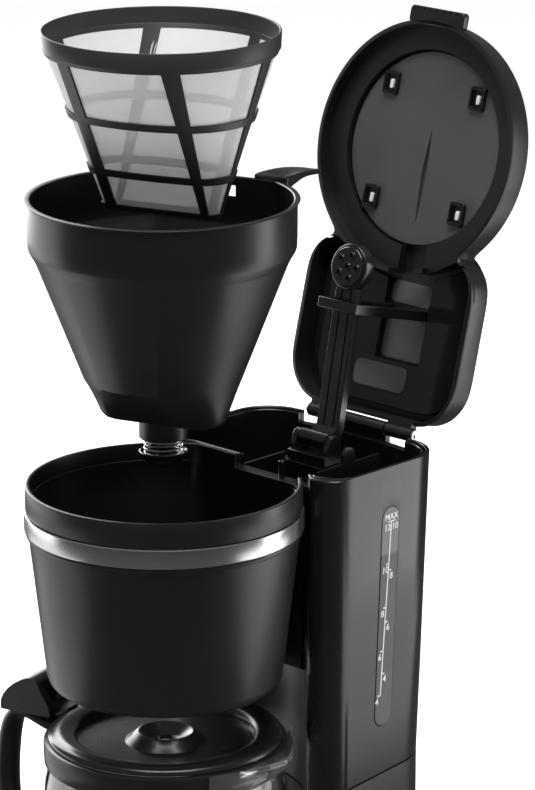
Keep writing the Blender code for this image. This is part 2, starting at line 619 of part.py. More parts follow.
# ---- brew basket, in its own frame: rim at z = 0 on the axis ----
def basket_rings(grow):
    """Sections of the basket's wall from the rim down, grown outwards by grow."""
    levels = [(73.4, 0.0), (73.2, -27.0), (70.0, -33.0), (44.0, -100.0)]
    rings = [ring_of(d_outline(r + grow, BASKET_FLAT - (73.4 - r) * 0.9 + grow), z) for r, z in levels]
    rings.append(ring_of(stadium(76 + 2 * grow, 30 + 2 * grow), -122.0 - grow))
    rings.append(ring_of(stadium(66 + 2 * grow, 22 + 2 * grow), -126.0 - grow))
    return rings


def make_basket():
    rim = [ring_of(d_outline(BASKET_R, BASKET_FLAT + 1.2), -0.55),
           ring_of(d_outline(BASKET_R, BASKET_FLAT + 1.2), 0.0)]
    outer = [ring_of(d_outline(73.4, BASKET_FLAT), -0.7)] + basket_rings(0)[1:]
    inner = basket_rings(-1.8)[::-1]
    basket = skin("brew_basket", outer[::-1] + rim + inner[::-1])
    boss = disc("boss", 13.5, -135.5, -124.6, sides=20)
    bore = disc("bore", 8.5, -140.0, -120.0)
    fuse(basket, boss, basket_handle(), *basket_fins())
    cut(basket, bore, box("window", 9.5, 14.5, 55, 75, -11.5, -5.0))
    return paint(smooth(basket), (0.03, 0.03, 0.032), 0.3)


def basket_fins():
    """Upright ribs inside the skirt that the filter's ring stands on."""
    fins = []
    for angle in (200, 230, 260, 290, 320, 350):
        a = radians(angle)
        fin = box("fin", 67.4, 70.6, -0.8, 0.8, -29.4, -26.0)
        fin.data.transform(Matrix.Rotation(a, 4, "Z"))
        fins.append(fin)
    return fins


def basket_handle():
    """Flat tongue that runs back from the rear flat and droops at its tip."""
    stations = [(BASKET_FLAT - 0.8, 10.6, 2.8, -7.4), (72, 10.6, 2.4, -5.5), (88, 10.0, 0.8, -3.6),
                (104, 9.2, -2.0, -5.6), (114, 7.8, -4.0, -7.0), (118.5, 5.0, -4.8, -7.4)]
    middle = 35.2
    rings = []
    for y, half, top, low in stations:
        rings.append([(middle - half, y, low), (middle + half, y, low), (middle + half, y, top),
                      (middle, y, top - 0.8), (middle - half, y, top)])
    return skin("handle", rings)


def make_drip_valve():
    bush = turned("outlet_bush", [(4.6, -138.0), (8.0, -138.0), (8.0, -123.8), (8.9, -123.8),
                                  (8.9, -122.6), (4.6, -122.6)], sides=SMALL)
    paint(smooth(bush), (0.6, 0.6, 0.58), 0.5)
    seal = turned("valve_seal", [(4.6, -122.2), (7.4, -122.2), (7.4, -121.0), (4.6, -121.0)], sides=SMALL)
    paint(smooth(seal), (0.35, 0.05, 0.04), 0.7)
    stem = [(0, -153.5), (1.4, -153.5), (1.4, -150.0), (7.0, -149.8), (12.6, -146.6), (13.6, -143.0),
            (12.4, -143.0), (11.2, -145.4), (3.0, -146.6), (3.0, -120.6), (6.4, -120.6), (6.4, -119.4), (0, -119.4)]
    valve = turned("drip_valve", stem, sides=SMALL)
    paint(smooth(valve), (0.75, 0.76, 0.78), 0.3)
    turns = 3
    steps = 10
    path = []
    for k in range(turns * steps + 1):
        a = 2 * pi * k / steps
        path.append((10.6 * cos(a), 10.6 * sin(a), -144.2 + 7.8 * k / (turns * steps)))
    spring = pipe("valve_spring", path, 0.6, sides=4)
    paint(smooth(spring), STEEL, 0.25, 1.0)
    return bush, seal, valve, spring


# ---- permanent filter, in its own frame: ring top at z = 0 ----
def filter_section(level, grow):
    """Section at a level from 0 (round, under the ring) to 1 (a thin slot with round ends)."""
    points = []
    for k in range(COLUMNS):
        a = 2 * pi * k / COLUMNS
        up = 1 if sin(a) > 0 else -1
        if abs(cos(a)) > 0.499:
            end = 1 if cos(a) > 0 else -1
            swing = 1.5 * asin(sin(a))
            low = (end * (SLOT_HALF + (SLOT_R + grow) * cos(swing)), (SLOT_R + grow) * sin(swing))
        else:
            share = (acos(cos(a)) - pi / 3) / (pi / 3)
            low = (SLOT_HALF * (1 - 2 * share), up * (SLOT_R + grow))
        high = ((FILTER_HALF + grow) * cos(a), (FILTER_HALF + grow) * sin(a))
        points.append(tuple(h + (b - h) * level for h, b in zip(high, low)))
    return points


def lattice(name, inner, outer, keep):
    """A thin wall on a grid of points, open where keep(row, column) is false, round in its columns."""
    rows = len(inner)
    columns = len(inner[0])
    verts = [p for ring in inner + outer for p in ring]

    def index(layer, row, column):
        return (layer * rows + row) * columns + column % columns

    def kept(row, column):
        return 0 <= row < rows - 1 and keep(row, column % columns)

    faces = []
    for row in range(rows - 1):
        for column in range(columns):
            if not kept(row, column):
                continue
            ends = [(row, column), (row, column + 1), (row + 1, column + 1), (row + 1, column)]
            faces.append([index(0, *e) for e in ends])
            faces.append([index(1, *e) for e in ends[::-1]])
            sides = [((row - 1, column), 0, 1), ((row, column + 1), 1, 2),
                     ((row + 1, column), 2, 3), ((row, column - 1), 3, 0)]
            for beside, a, b in sides:
                if not kept(*beside):
                    faces.append([index(0, *ends[b]), index(0, *ends[a]), index(1, *ends[a]), index(1, *ends[b])])
    used = sorted({v for face in faces for v in face})
    place = {v: i for i, v in enumerate(used)}
    return solid(name, [verts[v] for v in used], [[place[v] for v in face] for face in faces])


def make_filter():
    span = FILTER_HEIGHT - 9.0
    levels = [0.0, 0.05, 0.36, 0.42, 0.72, 0.78, 0.95, 1.0]
    inner = [ring_of(filter_section(f, 0.3), -9.0 - span * f) for f in levels]
    outer = [ring_of(filter_section(f, 1.9), -9.0 - span * f) for f in levels]
    open_rows = (1, 3, 5)
    frame = lattice("filter_frame", inner, outer, lambda row, k: row not in open_rows or k % (COLUMNS // RIBS) == 0)
    band = turned("band", [(62.9, -9.6), (64.6, -9.6), (FILTER_R, 0.0), (64.0, 0.0)], sides=COLUMNS)
    fuse(frame, band)
    paint(smooth(frame), (0.12, 0.12, 0.125), 0.45)
    sheet_levels = [0.06, 0.4, 0.75, 0.97]
    outside = [ring_of(filter_section(f, -0.5), -9.0 - span * f) for f in sheet_levels]
    inside = [ring_of(filter_section(f, -1.2), -9.0 - span * f) for f in sheet_levels]
    mesh = skin("filter_mesh", outside + inside[::-1], closed=True)
    paint(smooth(mesh), (0.75, 0.76, 0.76), 0.5, 0.0, 0.3)
    return frame, mesh


def make_brew_set():
    """Basket, drip valve and filter, turned and lifted above the housing."""
    bush, seal, valve, spring = make_drip_valve()
    basket = make_basket()
    frame, mesh = make_filter()
    height = RIM_Z + BASKET_SEAT + BASKET_LIFT
    turn = (0, 0, radians(BASKET_TURN))
    basket_axis = bpy.data.objects.new("basket_axis", None)
    bpy.context.collection.objects.link(basket_axis)
    basket_axis.location = (0, 0, height * M)
    basket_axis.rotation_euler = turn
    for piece in (bush, seal, valve, spring, basket, frame, mesh):
        piece.parent = basket_axis
    for piece in (frame, mesh):
        piece.location.z = FILTER_RISE * M


# ---- carafe, in its own frame with the handle towards +x ----
def make_carafe():
    foot = PLATE_Z + GAP
    glass_outside = [(50, foot), (58, foot + 3), (66, foot + 16), (70.5, foot + 48), (68, foot + 92),
                     (65.0, foot + 106), (65.0, foot + 116)]
    glass_inside = [(r - 2.0, z + (2.0 if k < 2 else 0.0)) for k, (r, z) in enumerate(glass_outside)]
    rings = [ring_of(circle(r), z) for r, z in glass_outside + glass_inside[::-1]]
    glass = skin("carafe_glass", rings)
    paint(smooth(glass, 60), (0.9, 0.92, 0.92), 0.03, 0.0, 0.95)
    collar = turned("carafe_collar", [(65.4, 143.0), (68.2, 143.0), (68.6, 149.0), (68.6, 155.6), (67.0, 157.0),
                                      (65.4, 157.0)])
    paint(smooth(collar), BLACK, 0.3)
    lid = carafe_lid()
    handle = carafe_handle()
    pin = rod("carafe_lid_pin", 1.4, (73.0, -11.4, 160.5), (73.0, 11.4, 160.5), 12)
    paint(smooth(pin), STEEL, 0.3, 1.0)
    lever = thumb_lever()
    spout = pour_spout()
    screw = rod("clamp_screw", 2.2, (70.0, 0, 150.0), (75.5, 0, 150.0), 12)
    paint(smooth(screw), STEEL, 0.3, 1.0)
    pieces = [glass, collar, handle, pin, spout, screw]
    pivot_on("carafe_axis", (0, 0, 0), (0, 0, radians(CARAFE_AZIMUTH)), pieces)
    hinge = Matrix.Rotation(radians(CARAFE_AZIMUTH), 4, "Z") @ Vector((73.0, 0, 160.5))
    for piece in (lid, lever):
        piece.data.transform(Matrix.Rotation(radians(CARAFE_AZIMUTH), 4, "Z"))
        piece.data.transform(Matrix.Translation(-hinge * M))
        piece.location = hinge * M


def carafe_lid():
    """Domed ring round a glossy recess with a raised funnel, and an ear for the hinge."""
    dome = [(63.0, 157.6), (66.4, 157.6), (63.0, 161.4), (56.0, 161.8), (51.0, 159.6), (49.5, 155.0), (22.9, 154.6)]
    outline = dome + [(15.8, 160.0), (9.0, 155.4), (6.0, 155.0), (6.0, 152.6), (52.0, 152.8), (54.0, 157.6)]
    lid = turned("carafe_lid", outline)
    ear = box("ear", 62.0, 76.0, -5.6, 5.6, 158.0, 163.0)
    fuse(lid, ear)
    cut(lid, rod("hole", 1.8, (73.0, -12, 160.5), (73.0, 12, 160.5), 12))
    return paint(smooth(lid), BLACK, 0.35)


def thumb_lever():
    """Thumb rest behind the lid's hinge: a roof whose cheeks reach down beside the handle."""
    side = [(70.0, 158.4), (76.0, 157.6), (90.0, 157.2), (103.5, 157.4), (104.0, 161.5), (101.5, 167.4),
            (93.0, 175.0), (84.0, 179.2), (79.0, 178.0), (71.0, 164.6)]
    room = [(75.0, 150.0), (108.0, 150.0), (108.0, 163.6), (100.0, 164.4), (92.0, 168.0), (84.0, 169.0), (77.5, 164.0)]
    lever = skin("thumb_lever", [[(x, y, z) for x, z in side] for y in (-11.6, 11.6)])
    cut(lever, skin("handle_room", [[(x, y, z) for x, z in room] for y in (-10.0, 10.0)]))
    cut(lever, box("ear_room", 60.0, 78.0, -6.0, 6.0, 150.0, 180.0))
    cut(lever, rod("hole", 1.8, (73.0, -12, 160.5), (73.0, 12, 160.5), 12))
    return paint(smooth(lever), BLACK, 0.35)


def carafe_handle():
    """Open C-shaped grip with a clamp that holds the collar."""
    line = [(70.4, 149.5), (79.0, 151.5), (89.0, 156.0), (98.0, 156.0), (103.5, 148.0), (106.5, 128.0),
            (107.0, 104.0), (103.0, 84.0), (97.0, 68.0)]
    half = [8.0, 8.4, 9.0, 9.2, 9.4, 9.6, 9.2, 8.6, 7.0]
    thick = [5.5, 4.6, 4.4, 4.8, 5.4, 5.4, 5.2, 4.8, 4.0]
    points = [Vector((x, 0, z)) for x, z in line]
    rings = []
    for i, point in enumerate(points):
        along = (points[min(i + 1, len(points) - 1)] - points[max(i - 1, 0)]).normalized()
        out = Vector((along.z, 0, -along.x))
        turn = [2 * pi * k / 12 for k in range(12)]
        rings.append([point + Vector((0, half[i] * cos(a), 0)) + out * thick[i] * sin(a) for a in turn])
    handle = skin("carafe_handle", rings)
    keep_out = turned("keep_out", [(60.0, 130.0), (69.0, 130.0), (69.0, 166.0), (60.0, 166.0)])
    cut(handle, keep_out)
    cut(handle, rod("screw_hole", 2.6, (60.0, 0, 150.0), (76.0, 0, 150.0), 12))
    return paint(smooth(handle, 50), BLACK, 0.35)


def pour_spout():
    """Clear lip on the collar, opposite the handle."""
    rings = []
    for x, y in arc_points(0, 0, 1.0, 142, 218, 13):
        spread = max(0.0, 1 - abs(asin(y)) / radians(38.0))
        out = 70.0 + 9.0 * spread ** 1.5
        loop = [(69.1, 144.0), (out - 1.0, 146.0 + 6 * spread), (out + 0.6, 156.0 + 1.0 * spread),
                (out - 0.9, 157.0 + 1.0 * spread), (69.1, 152.0)]
        rings.append([(r * x, r * y, z) for r, z in loop])
    return paint(smooth(skin("pour_spout", rings)), (0.85, 0.87, 0.87), 0.08, 0.0, 0.85)


def centre_on_origin():
    """Move the middle of the whole footprint to x = y = 0 and the lowest point to z = 0."""
    bpy.context.view_layer.update()
    corners = [obj.matrix_world @ v.co for obj in bpy.data.objects if obj.type == "MESH" for v in obj.data.vertices]
    low = Vector([min(c[k] for c in corners) for k in range(3)])
    high = Vector([max(c[k] for c in corners) for k in range(3)])
    shift = Vector((-(low.x + high.x) / 2, -(low.y + high.y) / 2, -low.z))
    for obj in bpy.data.objects:
        if obj.parent is None:
            obj.location += shift
    bpy.context.view_layer.update()


clear_scene()
make_base()
make_underside()
make_hot_plate()
make_water_path()
make_controls()
make_column()
make_tank()
make_housing()
make_trim_band()
make_hinge_bracket()
make_lid()
make_arm_bracket()
make_shower_arm()
make_brew_set()
make_carafe()
centre_on_origin()
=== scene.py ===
"""Looks of the drip coffee maker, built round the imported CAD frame.

Work frame: millimetres, z = 0 on the table, +Y to the rear, x = y = 0 on the brew housing's axis.
place() moves each finished mesh to the row frame in metres.
"""

import json
from math import acos, asin, cos, degrees, pi, radians, sin, sqrt

import bpy
import bmesh
from mathutils import Matrix, Vector

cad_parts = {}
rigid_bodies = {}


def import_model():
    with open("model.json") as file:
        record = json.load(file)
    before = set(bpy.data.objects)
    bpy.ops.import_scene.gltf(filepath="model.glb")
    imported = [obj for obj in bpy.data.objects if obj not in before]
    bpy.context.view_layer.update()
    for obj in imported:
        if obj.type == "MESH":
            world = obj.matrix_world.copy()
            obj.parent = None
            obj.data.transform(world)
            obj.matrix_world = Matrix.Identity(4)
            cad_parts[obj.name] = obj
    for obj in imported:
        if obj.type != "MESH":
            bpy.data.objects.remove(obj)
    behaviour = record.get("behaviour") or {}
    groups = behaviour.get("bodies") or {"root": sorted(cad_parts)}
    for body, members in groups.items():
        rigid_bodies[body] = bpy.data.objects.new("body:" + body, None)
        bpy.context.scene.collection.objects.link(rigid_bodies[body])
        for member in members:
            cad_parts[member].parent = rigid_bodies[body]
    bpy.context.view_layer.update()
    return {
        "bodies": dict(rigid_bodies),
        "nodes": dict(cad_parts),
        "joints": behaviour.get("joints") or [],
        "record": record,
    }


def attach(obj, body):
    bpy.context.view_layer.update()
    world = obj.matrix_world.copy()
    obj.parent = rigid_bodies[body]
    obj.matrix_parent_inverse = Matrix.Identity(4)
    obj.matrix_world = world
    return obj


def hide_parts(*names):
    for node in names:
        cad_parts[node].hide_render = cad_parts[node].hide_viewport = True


# ---- dimensions shared with the CAD part (mm, degrees) ----
M = 0.001
SHIFT = Vector((14.835, -77.507, 0.0))  # housing axis in the row frame
RIM = 306.0
LOW = RIM - 116.0                       # underside of the brew housing
FLAT = 67.0
OUTLET_R = 46.0
WALL = 2.4
ARC = 81.0
TOP_HW = 71.0
LOW_HW = 63.0
REAR = 157.0
CROWN = 3.5
SEAM_Z = 118.0
SEAM_Y = 89.0
SEAM_SLOPE = 0.095
COLUMN_FLAT = FLAT + 0.6
FLOOR_Z = 112.0
DECK = 30.0
PLATE = 38.0
HINGE_Y = 161.5
OPEN = 104.8
LID_TOP = RIM + 18.3
LID_LOW = RIM + 1.1
LID_CEILING = LID_TOP - 2.5             # underside of the lid's skin
LID_R = 73.5
LID_HW = 63.5
LID_WALL = 2.8
ARM_X = 8.0
ARM_Y = 114.8
ARM_Z = RIM + 1.7
ARM_LENGTH = 99.6
STRAP_Y = 94.7
BASKET_Z = RIM + 161.5
BASKET_TURN = 18.0
BASKET_FLAT = 62.8
FILTER_RISE = 92.9
CARAFE_AZIMUTH = 193.0
GAUGE_Y = 110.0
GAUGE_R = 7.0                           # half width of the gauge window
GAUGE_TOP = RIM - 31                    # centres of the window's round ends
GAUGE_FOOT = RIM - 149
CONTROL_Z = 17.5                        # button and lens above the table
FILTER_R = 62.5
FILTER_TOP = -9.0                       # where the filter's wall starts, under its ring
FILTER_SPAN = 92.0
SLOT_HALF = 30.4                        # the filter's foot: half length and end radius
SLOT_R = 3.2
JUG_R = 65.0                            # the jug's neck
JUG_PIN = (73.0, 160.5)                 # x and z of the jug lid's pin
RIBS = 6
HANDLE_X = 35.2                         # the basket's handle, off the middle
COIL_R = 10.6                           # the valve's spring: radius, wire and turns
WIRE_R = 0.55
COIL_TURNS = 4

# ---- mesh densities: points round an outline ----
ROUND = 144                             # large outlines
TURN = 72                               # small turned pieces
COLUMNS = 192                           # the filter

# ---- camera (metres, degrees, mm) ----
CAMERA_AT = (1.695835, -1.755507, 1.045)
CAMERA_TILT = 73.82
CAMERA_TURN = 43.67
LENS_MM = 302.8
WORLD_LIGHT = 0.18                      # the world's strength, but for what the camera sees

LID_POSE = (Matrix.Translation((0, HINGE_Y, RIM)) @ Matrix.Rotation(-radians(OPEN), 4, "X")
            @ Matrix.Translation((0, -HINGE_Y, -RIM)))
ARM_POSE = (Matrix.Translation((ARM_X, ARM_Y, ARM_Z)) @ Matrix.Rotation(-radians(OPEN), 4, "X")
            @ Matrix.Translation((-ARM_X, -ARM_Y, -ARM_Z)))
BASKET_POSE = Matrix.Translation((0, 0, BASKET_Z)) @ Matrix.Rotation(radians(BASKET_TURN), 4, "Z")
FILTER_POSE = BASKET_POSE @ Matrix.Translation((0, 0, FILTER_RISE))
CARAFE_POSE = Matrix.Rotation(radians(CARAFE_AZIMUTH), 4, "Z")
HERE = Matrix.Identity(4)


# ---- meshes ----
def solid(name, verts, faces):
    mesh = bpy.data.meshes.new(name)
    mesh.from_pydata([Vector(v) for v in verts], [], faces)
    bm = bmesh.new()
    bm.from_mesh(mesh)
    bmesh.ops.recalc_face_normals(bm, faces=bm.faces)
    bm.to_mesh(mesh)
    bm.free()
    obj = bpy.data.objects.new(name, mesh)
    bpy.context.collection.objects.link(obj)
    return obj


def skin(name, rings, closed=False):
    """Join rings of equal length; a closed skin runs back to its first ring, an open one is capped."""
    count = len(rings[0])
    verts = [p for ring in rings for p in ring]
    faces = []
    for i in range(len(rings) if closed else len(rings) - 1):
        a = i * count
        b = (i + 1) % len(rings) * count
        for k in range(count):
            n = (k + 1) % count
            faces.append((a + k, a + n, b + n, b + k))
    if not closed:
        faces.append(tuple(range(count)))
        faces.append(tuple(range(len(verts) - count, len(verts))))
    return solid(name, verts, faces)


def at(outline, z):
    return [(x, y, z) for x, y in outline]


def circle(radius, x=0.0, y=0.0, sides=TURN):
    turn = [2 * pi * k / sides for k in range(sides)]
    return [(x + radius * cos(a), y + radius * sin(a)) for a in turn]


def arc(cx, cy, radius, start, end, count):
    step = (end - start) / (count - 1)
    angles = [radians(start + step * k) for k in range(count)]
    return [(cx + radius * cos(a), cy + radius * sin(a)) for a in angles]


def turned(name, profile, x=0.0, y=0.0, sides=TURN):
    on_axis = profile[0][0] == 0.0
    inner = profile[1:-1] if on_axis else profile
    return skin(name, [at(circle(r, x, y, sides), z) for r, z in inner], closed=not on_axis)


def prism(name, outline, low, high):
    return skin(name, [at(outline, low), at(outline, high)])


def soft_prism(name, outline_of, low, high, edge):
    """A prism with rounded rims; outline_of(inset) gives its outline."""
    rings = []
    for z, sign in ((low, 1), (high, -1)):
        corner = [at(outline_of(edge * (1 - sin(a))), z + sign * edge * (1 - cos(a)))
                  for a in (0.0, pi / 8, pi / 4, 3 * pi / 8, pi / 2)]
        rings += corner if sign > 0 else corner[::-1]
    return skin(name, rings)


def slab(name, loop, x0, x1):
    """A plate between x0 and x1 from its (y, z) outline."""
    return skin(name, [[(x, y, z) for y, z in loop] for x in (x0, x1)])


def block(name, x0, x1, y0, y1, z0, z1):
    return prism(name, [(x0, y0), (x1, y0), (x1, y1), (x0, y1)], z0, z1)


def along(obj, origin, axis):
    turn = Vector(axis).to_track_quat("Z", "Y").to_matrix().to_4x4()
    obj.data.transform(Matrix.Translation(Vector(origin)) @ turn)
    return obj


def rod(name, radius, start, end, sides=32, edge=0.3):
    span = (Vector(end) - Vector(start)).length
    profile = [(0, 0), (radius - edge, 0), (radius, edge), (radius, span - edge),
               (radius - edge, span), (0, span)]
    return along(turned(name, profile, sides=sides), start, Vector(end) - Vector(start))


def pipe(name, path, radius, sides=12):
    points = [Vector(p) for p in path]
    rings = []
    side = None
    for i, point in enumerate(points):
        tangent = (points[min(i + 1, len(points) - 1)] - points[max(i - 1, 0)]).normalized()
        side = tangent.orthogonal() if side is None else side - tangent * side.dot(tangent)
        side.normalize()
        other = tangent.cross(side)
        rings.append([point + (side * cos(a) + other * sin(a)) * radius
                      for a in (2 * pi * k / sides for k in range(sides))])
    return skin(name, rings)


def even(points, count):
    """The same polyline with count + 1 evenly spread points."""
    spans = [sqrt((b[0] - a[0]) ** 2 + (b[1] - a[1]) ** 2) for a, b in zip(points, points[1:])]
    step = sum(spans) / count
    result = [points[0]]
    i = 0
    left = 0.0
    for k in range(1, count):
        want = k * step
        while left + spans[i] < want and i < len(spans) - 1:
            left += spans[i]
            i += 1
        t = (want - left) / spans[i]
        result.append(tuple(points[i][j] + (points[i + 1][j] - points[i][j]) * t for j in (0, 1)))
    return result + [points[-1]]


def mirrored(half, count=ROUND, rounds=0):
    """A whole outline from its right half, which runs from the front to the rear."""
    points = even(half, count // 2)
    loop = points + [(-x, y) for x, y in points[-2:0:-1]]
    for _ in range(rounds):
        size = len(loop)
        loop = [tuple((loop[k - 1][j] + 2 * loop[k][j] + loop[(k + 1) % size][j]) / 4 for j in (0, 1))
                for k in range(size)]
    return loop


def boolean(obj, operation, tools):
    for tool in tools:
        modifier = obj.modifiers.new("boolean", "BOOLEAN")
        modifier.operation = operation
        modifier.object = tool
        bpy.context.view_layer.update()
        graph = bpy.context.evaluated_depsgraph_get()
        result = bpy.data.meshes.new_from_object(obj.evaluated_get(graph))
        obj.modifiers.clear()
        obj.data = result
        bpy.data.objects.remove(tool, do_unlink=True)
    return obj


def cut(obj, *tools):
    return boolean(obj, "DIFFERENCE", tools)


def fuse(obj, *tools):
    return boolean(obj, "UNION", tools)


def soften(obj, width, parts=2):
    modifier = obj.modifiers.new("edges", "BEVEL")
    modifier.width = width * M
    modifier.segments = parts
    modifier.limit_method = "ANGLE"
    modifier.angle_limit = radians(40)


def subdivide(obj, levels):
    modifier = obj.modifiers.new("smooth", "SUBSURF")
    modifier.levels = levels
    modifier.render_levels = levels


def ramp_angles(first=1):
    """Angles up to 90 degrees in sixteenths of it."""
    return [pi * k / 32 for k in range(first, 17)]


def place(obj, finish, body, nodes=(), pose=HERE, bevel=0.0, angle=35.0, parts=2):
    """Finish a mesh made in the work frame: move it, smooth it, bevel it and hang it on its body."""
    obj.data.transform(Matrix.Scale(M, 4) @ Matrix.Translation(SHIFT) @ pose)
    obj.data.materials.clear()
    obj.data.materials.append(finish)
    obj.data.shade_smooth()
    obj.data.set_sharp_from_angle(angle=radians(angle))
    if bevel:
        soften(obj, bevel, parts)
    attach(obj, body)
    if nodes:
        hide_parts(*nodes)
    return obj


# ---- outlines ----
def d_shape(radius, flat, corner=5.0):
    """A circle cut off at y = flat with rounded corners, or a whole circle."""
    if flat >= radius - 0.05:
        return mirrored(arc(0, 0, radius, -90, 90, 120))
    turn = asin((flat - corner) / (radius - corner))
    half = arc(0, 0, radius, -90, degrees(turn), 120)
    half += arc((radius - corner) * cos(turn), flat - corner, corner, degrees(turn), 90, 12)
    return mirrored(half + [(0.0, flat)])


def stadium(length, width):
    half = (length - width) / 2
    return mirrored([(0, -width / 2)] + arc(half, 0, width / 2, -90, 90, 40) + [(0, width / 2)])


def half_width(z):
    if z <= SEAM_Z:
        return LOW_HW
    return LOW_HW + (TOP_HW - LOW_HW) * (z - SEAM_Z) / (RIM - SEAM_Z)


def crowned(reach, rear):
    """The slightly bulged rear edge, from x = reach to the middle."""
    return [(reach * k / 12, rear + CROWN * (1 - (k / 12) ** 2)) for k in range(11, -1, -1)]


def column_shape(z, inset, flat):
    hw = half_width(z) - inset
    reach = ARC + inset
    start_x = hw - 17.0
    start_y = sqrt(reach ** 2 - start_x ** 2)
    rear = REAR - inset
    corner = 26.0 - inset
    half = []
    for k in range(41):
        x = start_x * k / 40
        half.append((x, min(sqrt(reach ** 2 - x ** 2), flat + inset)))
    half += [(start_x + 17.0 * sin(a), start_y + 13.0 - 13.0 * cos(a)) for a in ramp_angles()]
    half += arc(hw - corner, rear - corner, corner, 0, 90, 24)
    return mirrored(half + crowned(hw - corner, rear))


def seam(y):
    return SEAM_Z + (y - SEAM_Y) * SEAM_SLOPE


def seam_ring(inset, lift):
    """Ring of the column along its sloping joint with the base."""
    return [(x, y, seam(y) + lift) for x, y in column_shape(SEAM_Z, inset, ARC)]


def base_shape(inset):
    radius = 80.0 - inset
    hw = 66.0 - inset
    turn = degrees(acos(hw / radius))
    rear = REAR + 1.0 - inset
    corner = 28.0 - inset
    half = arc(0, 0, radius, -90, turn, 80) + arc(hw - corner, rear - corner, corner, 0, 90, 24)
    return mirrored(half + crowned(hw - corner, rear))


def lid_shape(inset):
    radius = LID_R - inset
    hw = LID_HW - inset
    rear = REAR - inset
    half = arc(0, 0, radius, -90, 52, 110)
    x, y = half[-1]
    half += [(x + (hw - x) * sin(a), y + 22.0 - 20.0 * cos(a)) for a in ramp_angles()]
    half += arc(hw - 28 + inset, rear - 28 + inset, 28 - inset, 0, 90, 24) + [(0.0, rear)]
    return mirrored(half, ROUND + 56, 3)


def cover_shape(inset):
    """The room in the lid's rear part, behind the round wall."""
    reach = LID_R + inset
    hw = LID_HW - LID_WALL - inset
    rear = REAR - LID_WALL - inset
    edge = degrees(acos(min(1.0, 44.0 / reach)))
    half = arc(0, 0, reach, 90, edge, 30)
    x, y = half[-1]
    half += [(x + (hw - x) * sin(a), y + 20.0 - 20.0 * cos(a)) for a in ramp_angles(2)]
    half += arc(hw - 24, rear - 24, 24, 0, 90, 20) + [(0.0, rear)]
    return mirrored(half, ROUND, 2)


# ---- finishes ----
def add_node(tree, kind, **inputs):
    node = tree.nodes.new(kind)
    for key, value in inputs.items():
        node.inputs[key.replace("_", " ")].default_value = value
    return node


def finish(name, colour, rough, spread=0.06, metallic=0.0, grain=2600.0, bump=0.08, patch=14.0,
           stretch=(1, 1, 1), tint=0.12, **sockets):
    """Procedural finish: fine grain as bump, broad patches in roughness and colour."""
    material = bpy.data.materials.new(name)
    material.use_nodes = True
    tree = material.node_tree
    link = tree.links.new
    shader = tree.nodes["Principled BSDF"]
    shader.inputs["Metallic"].default_value = metallic
    for key, value in sockets.items():
        shader.inputs[key.replace("_", " ")].default_value = value
    place_in = add_node(tree, "ShaderNodeTexCoord").outputs["Object"]
    mapping = add_node(tree, "ShaderNodeMapping", Scale=stretch)
    link(place_in, mapping.inputs["Vector"])
    fine = add_node(tree, "ShaderNodeTexNoise", Scale=grain, Detail=3.0)
    link(mapping.outputs["Vector"], fine.inputs["Vector"])
    broad = add_node(tree, "ShaderNodeTexNoise", Scale=patch, Detail=6.0)
    link(place_in, broad.inputs["Vector"])
    level = add_node(tree, "ShaderNodeMapRange", From_Min=0.3, From_Max=0.7,
                     To_Min=max(0.02, rough - spread), To_Max=rough + spread)
    link(broad.outputs["Fac"], level.inputs["Value"])
    link(level.outputs["Result"], shader.inputs["Roughness"])
    ramp = add_node(tree, "ShaderNodeValToRGB")
    dark, light = ramp.color_ramp.elements
    dark.position = 0.35
    dark.color = (*[c * (1 - tint) for c in colour], 1)
    light.position = 0.65
    light.color = (*[min(1.0, c * (1 + tint)) for c in colour], 1)
    link(fine.outputs["Fac"] if stretch != (1, 1, 1) else broad.outputs["Fac"], ramp.inputs["Fac"])
    link(ramp.outputs["Color"], shader.inputs["Base Color"])
    raise_surface(tree, fine.outputs["Fac"], bump)
    return material


def raise_surface(tree, height, strength):
    relief = add_node(tree, "ShaderNodeBump", Strength=strength, Distance=0.0002)
    tree.links.new(height, relief.inputs["Height"])
    tree.links.new(relief.outputs["Normal"], tree.nodes["Principled BSDF"].inputs["Normal"])


def woven(name, colour):
    """The filter's fine gauze: a weave of threads, partly see-through."""
    material = finish(name, colour, 0.6, bump=0.0, tint=0.04, Alpha=0.62)
    tree = material.node_tree
    coords = add_node(tree, "ShaderNodeTexCoord").outputs["Object"]
    total = add_node(tree, "ShaderNodeMath")
    total.operation = "MAXIMUM"
    for socket, direction in enumerate(("X", "Z")):
        wave = add_node(tree, "ShaderNodeTexWave", Scale=420.0)
        wave.bands_direction = direction
        tree.links.new(coords, wave.inputs["Vector"])
        tree.links.new(wave.outputs["Fac"], total.inputs[socket])
    raise_surface(tree, total.outputs[0], 0.25)
    return material


def banded(name, low, high, level):
    """The gauge window's tint: high above the level (metres), low below it."""
    material = finish(name, low, 0.22, bump=0.03, Transmission_Weight=0.25, IOR=1.49)
    tree = material.node_tree
    link = tree.links.new
    split = add_node(tree, "ShaderNodeSeparateXYZ")
    link(add_node(tree, "ShaderNodeTexCoord").outputs["Object"], split.inputs[0])
    step = add_node(tree, "ShaderNodeMapRange", From_Min=level - 0.0004, From_Max=level + 0.0004)
    link(split.outputs["Z"], step.inputs["Value"])
    mix = add_node(tree, "ShaderNodeMix")
    mix.data_type = "RGBA"
    mix.inputs["A"].default_value = (*low, 1)
    mix.inputs["B"].default_value = (*high, 1)
    link(step.outputs["Result"], mix.inputs["Factor"])
    link(mix.outputs["Result"], tree.nodes["Principled BSDF"].inputs["Base Color"])
    return material


# ---- housing, column, tank ----
def notch(front, rear):
    """Room in the rims for the shower arm and the basket's handle."""
    return block("notch", -8, 48, front, rear, RIM - 8, RIM + 5)


def hinge_notch():
    return block("hinge_notch", -41.5, 41.5, 148, 175, RIM - 7, RIM + 5)


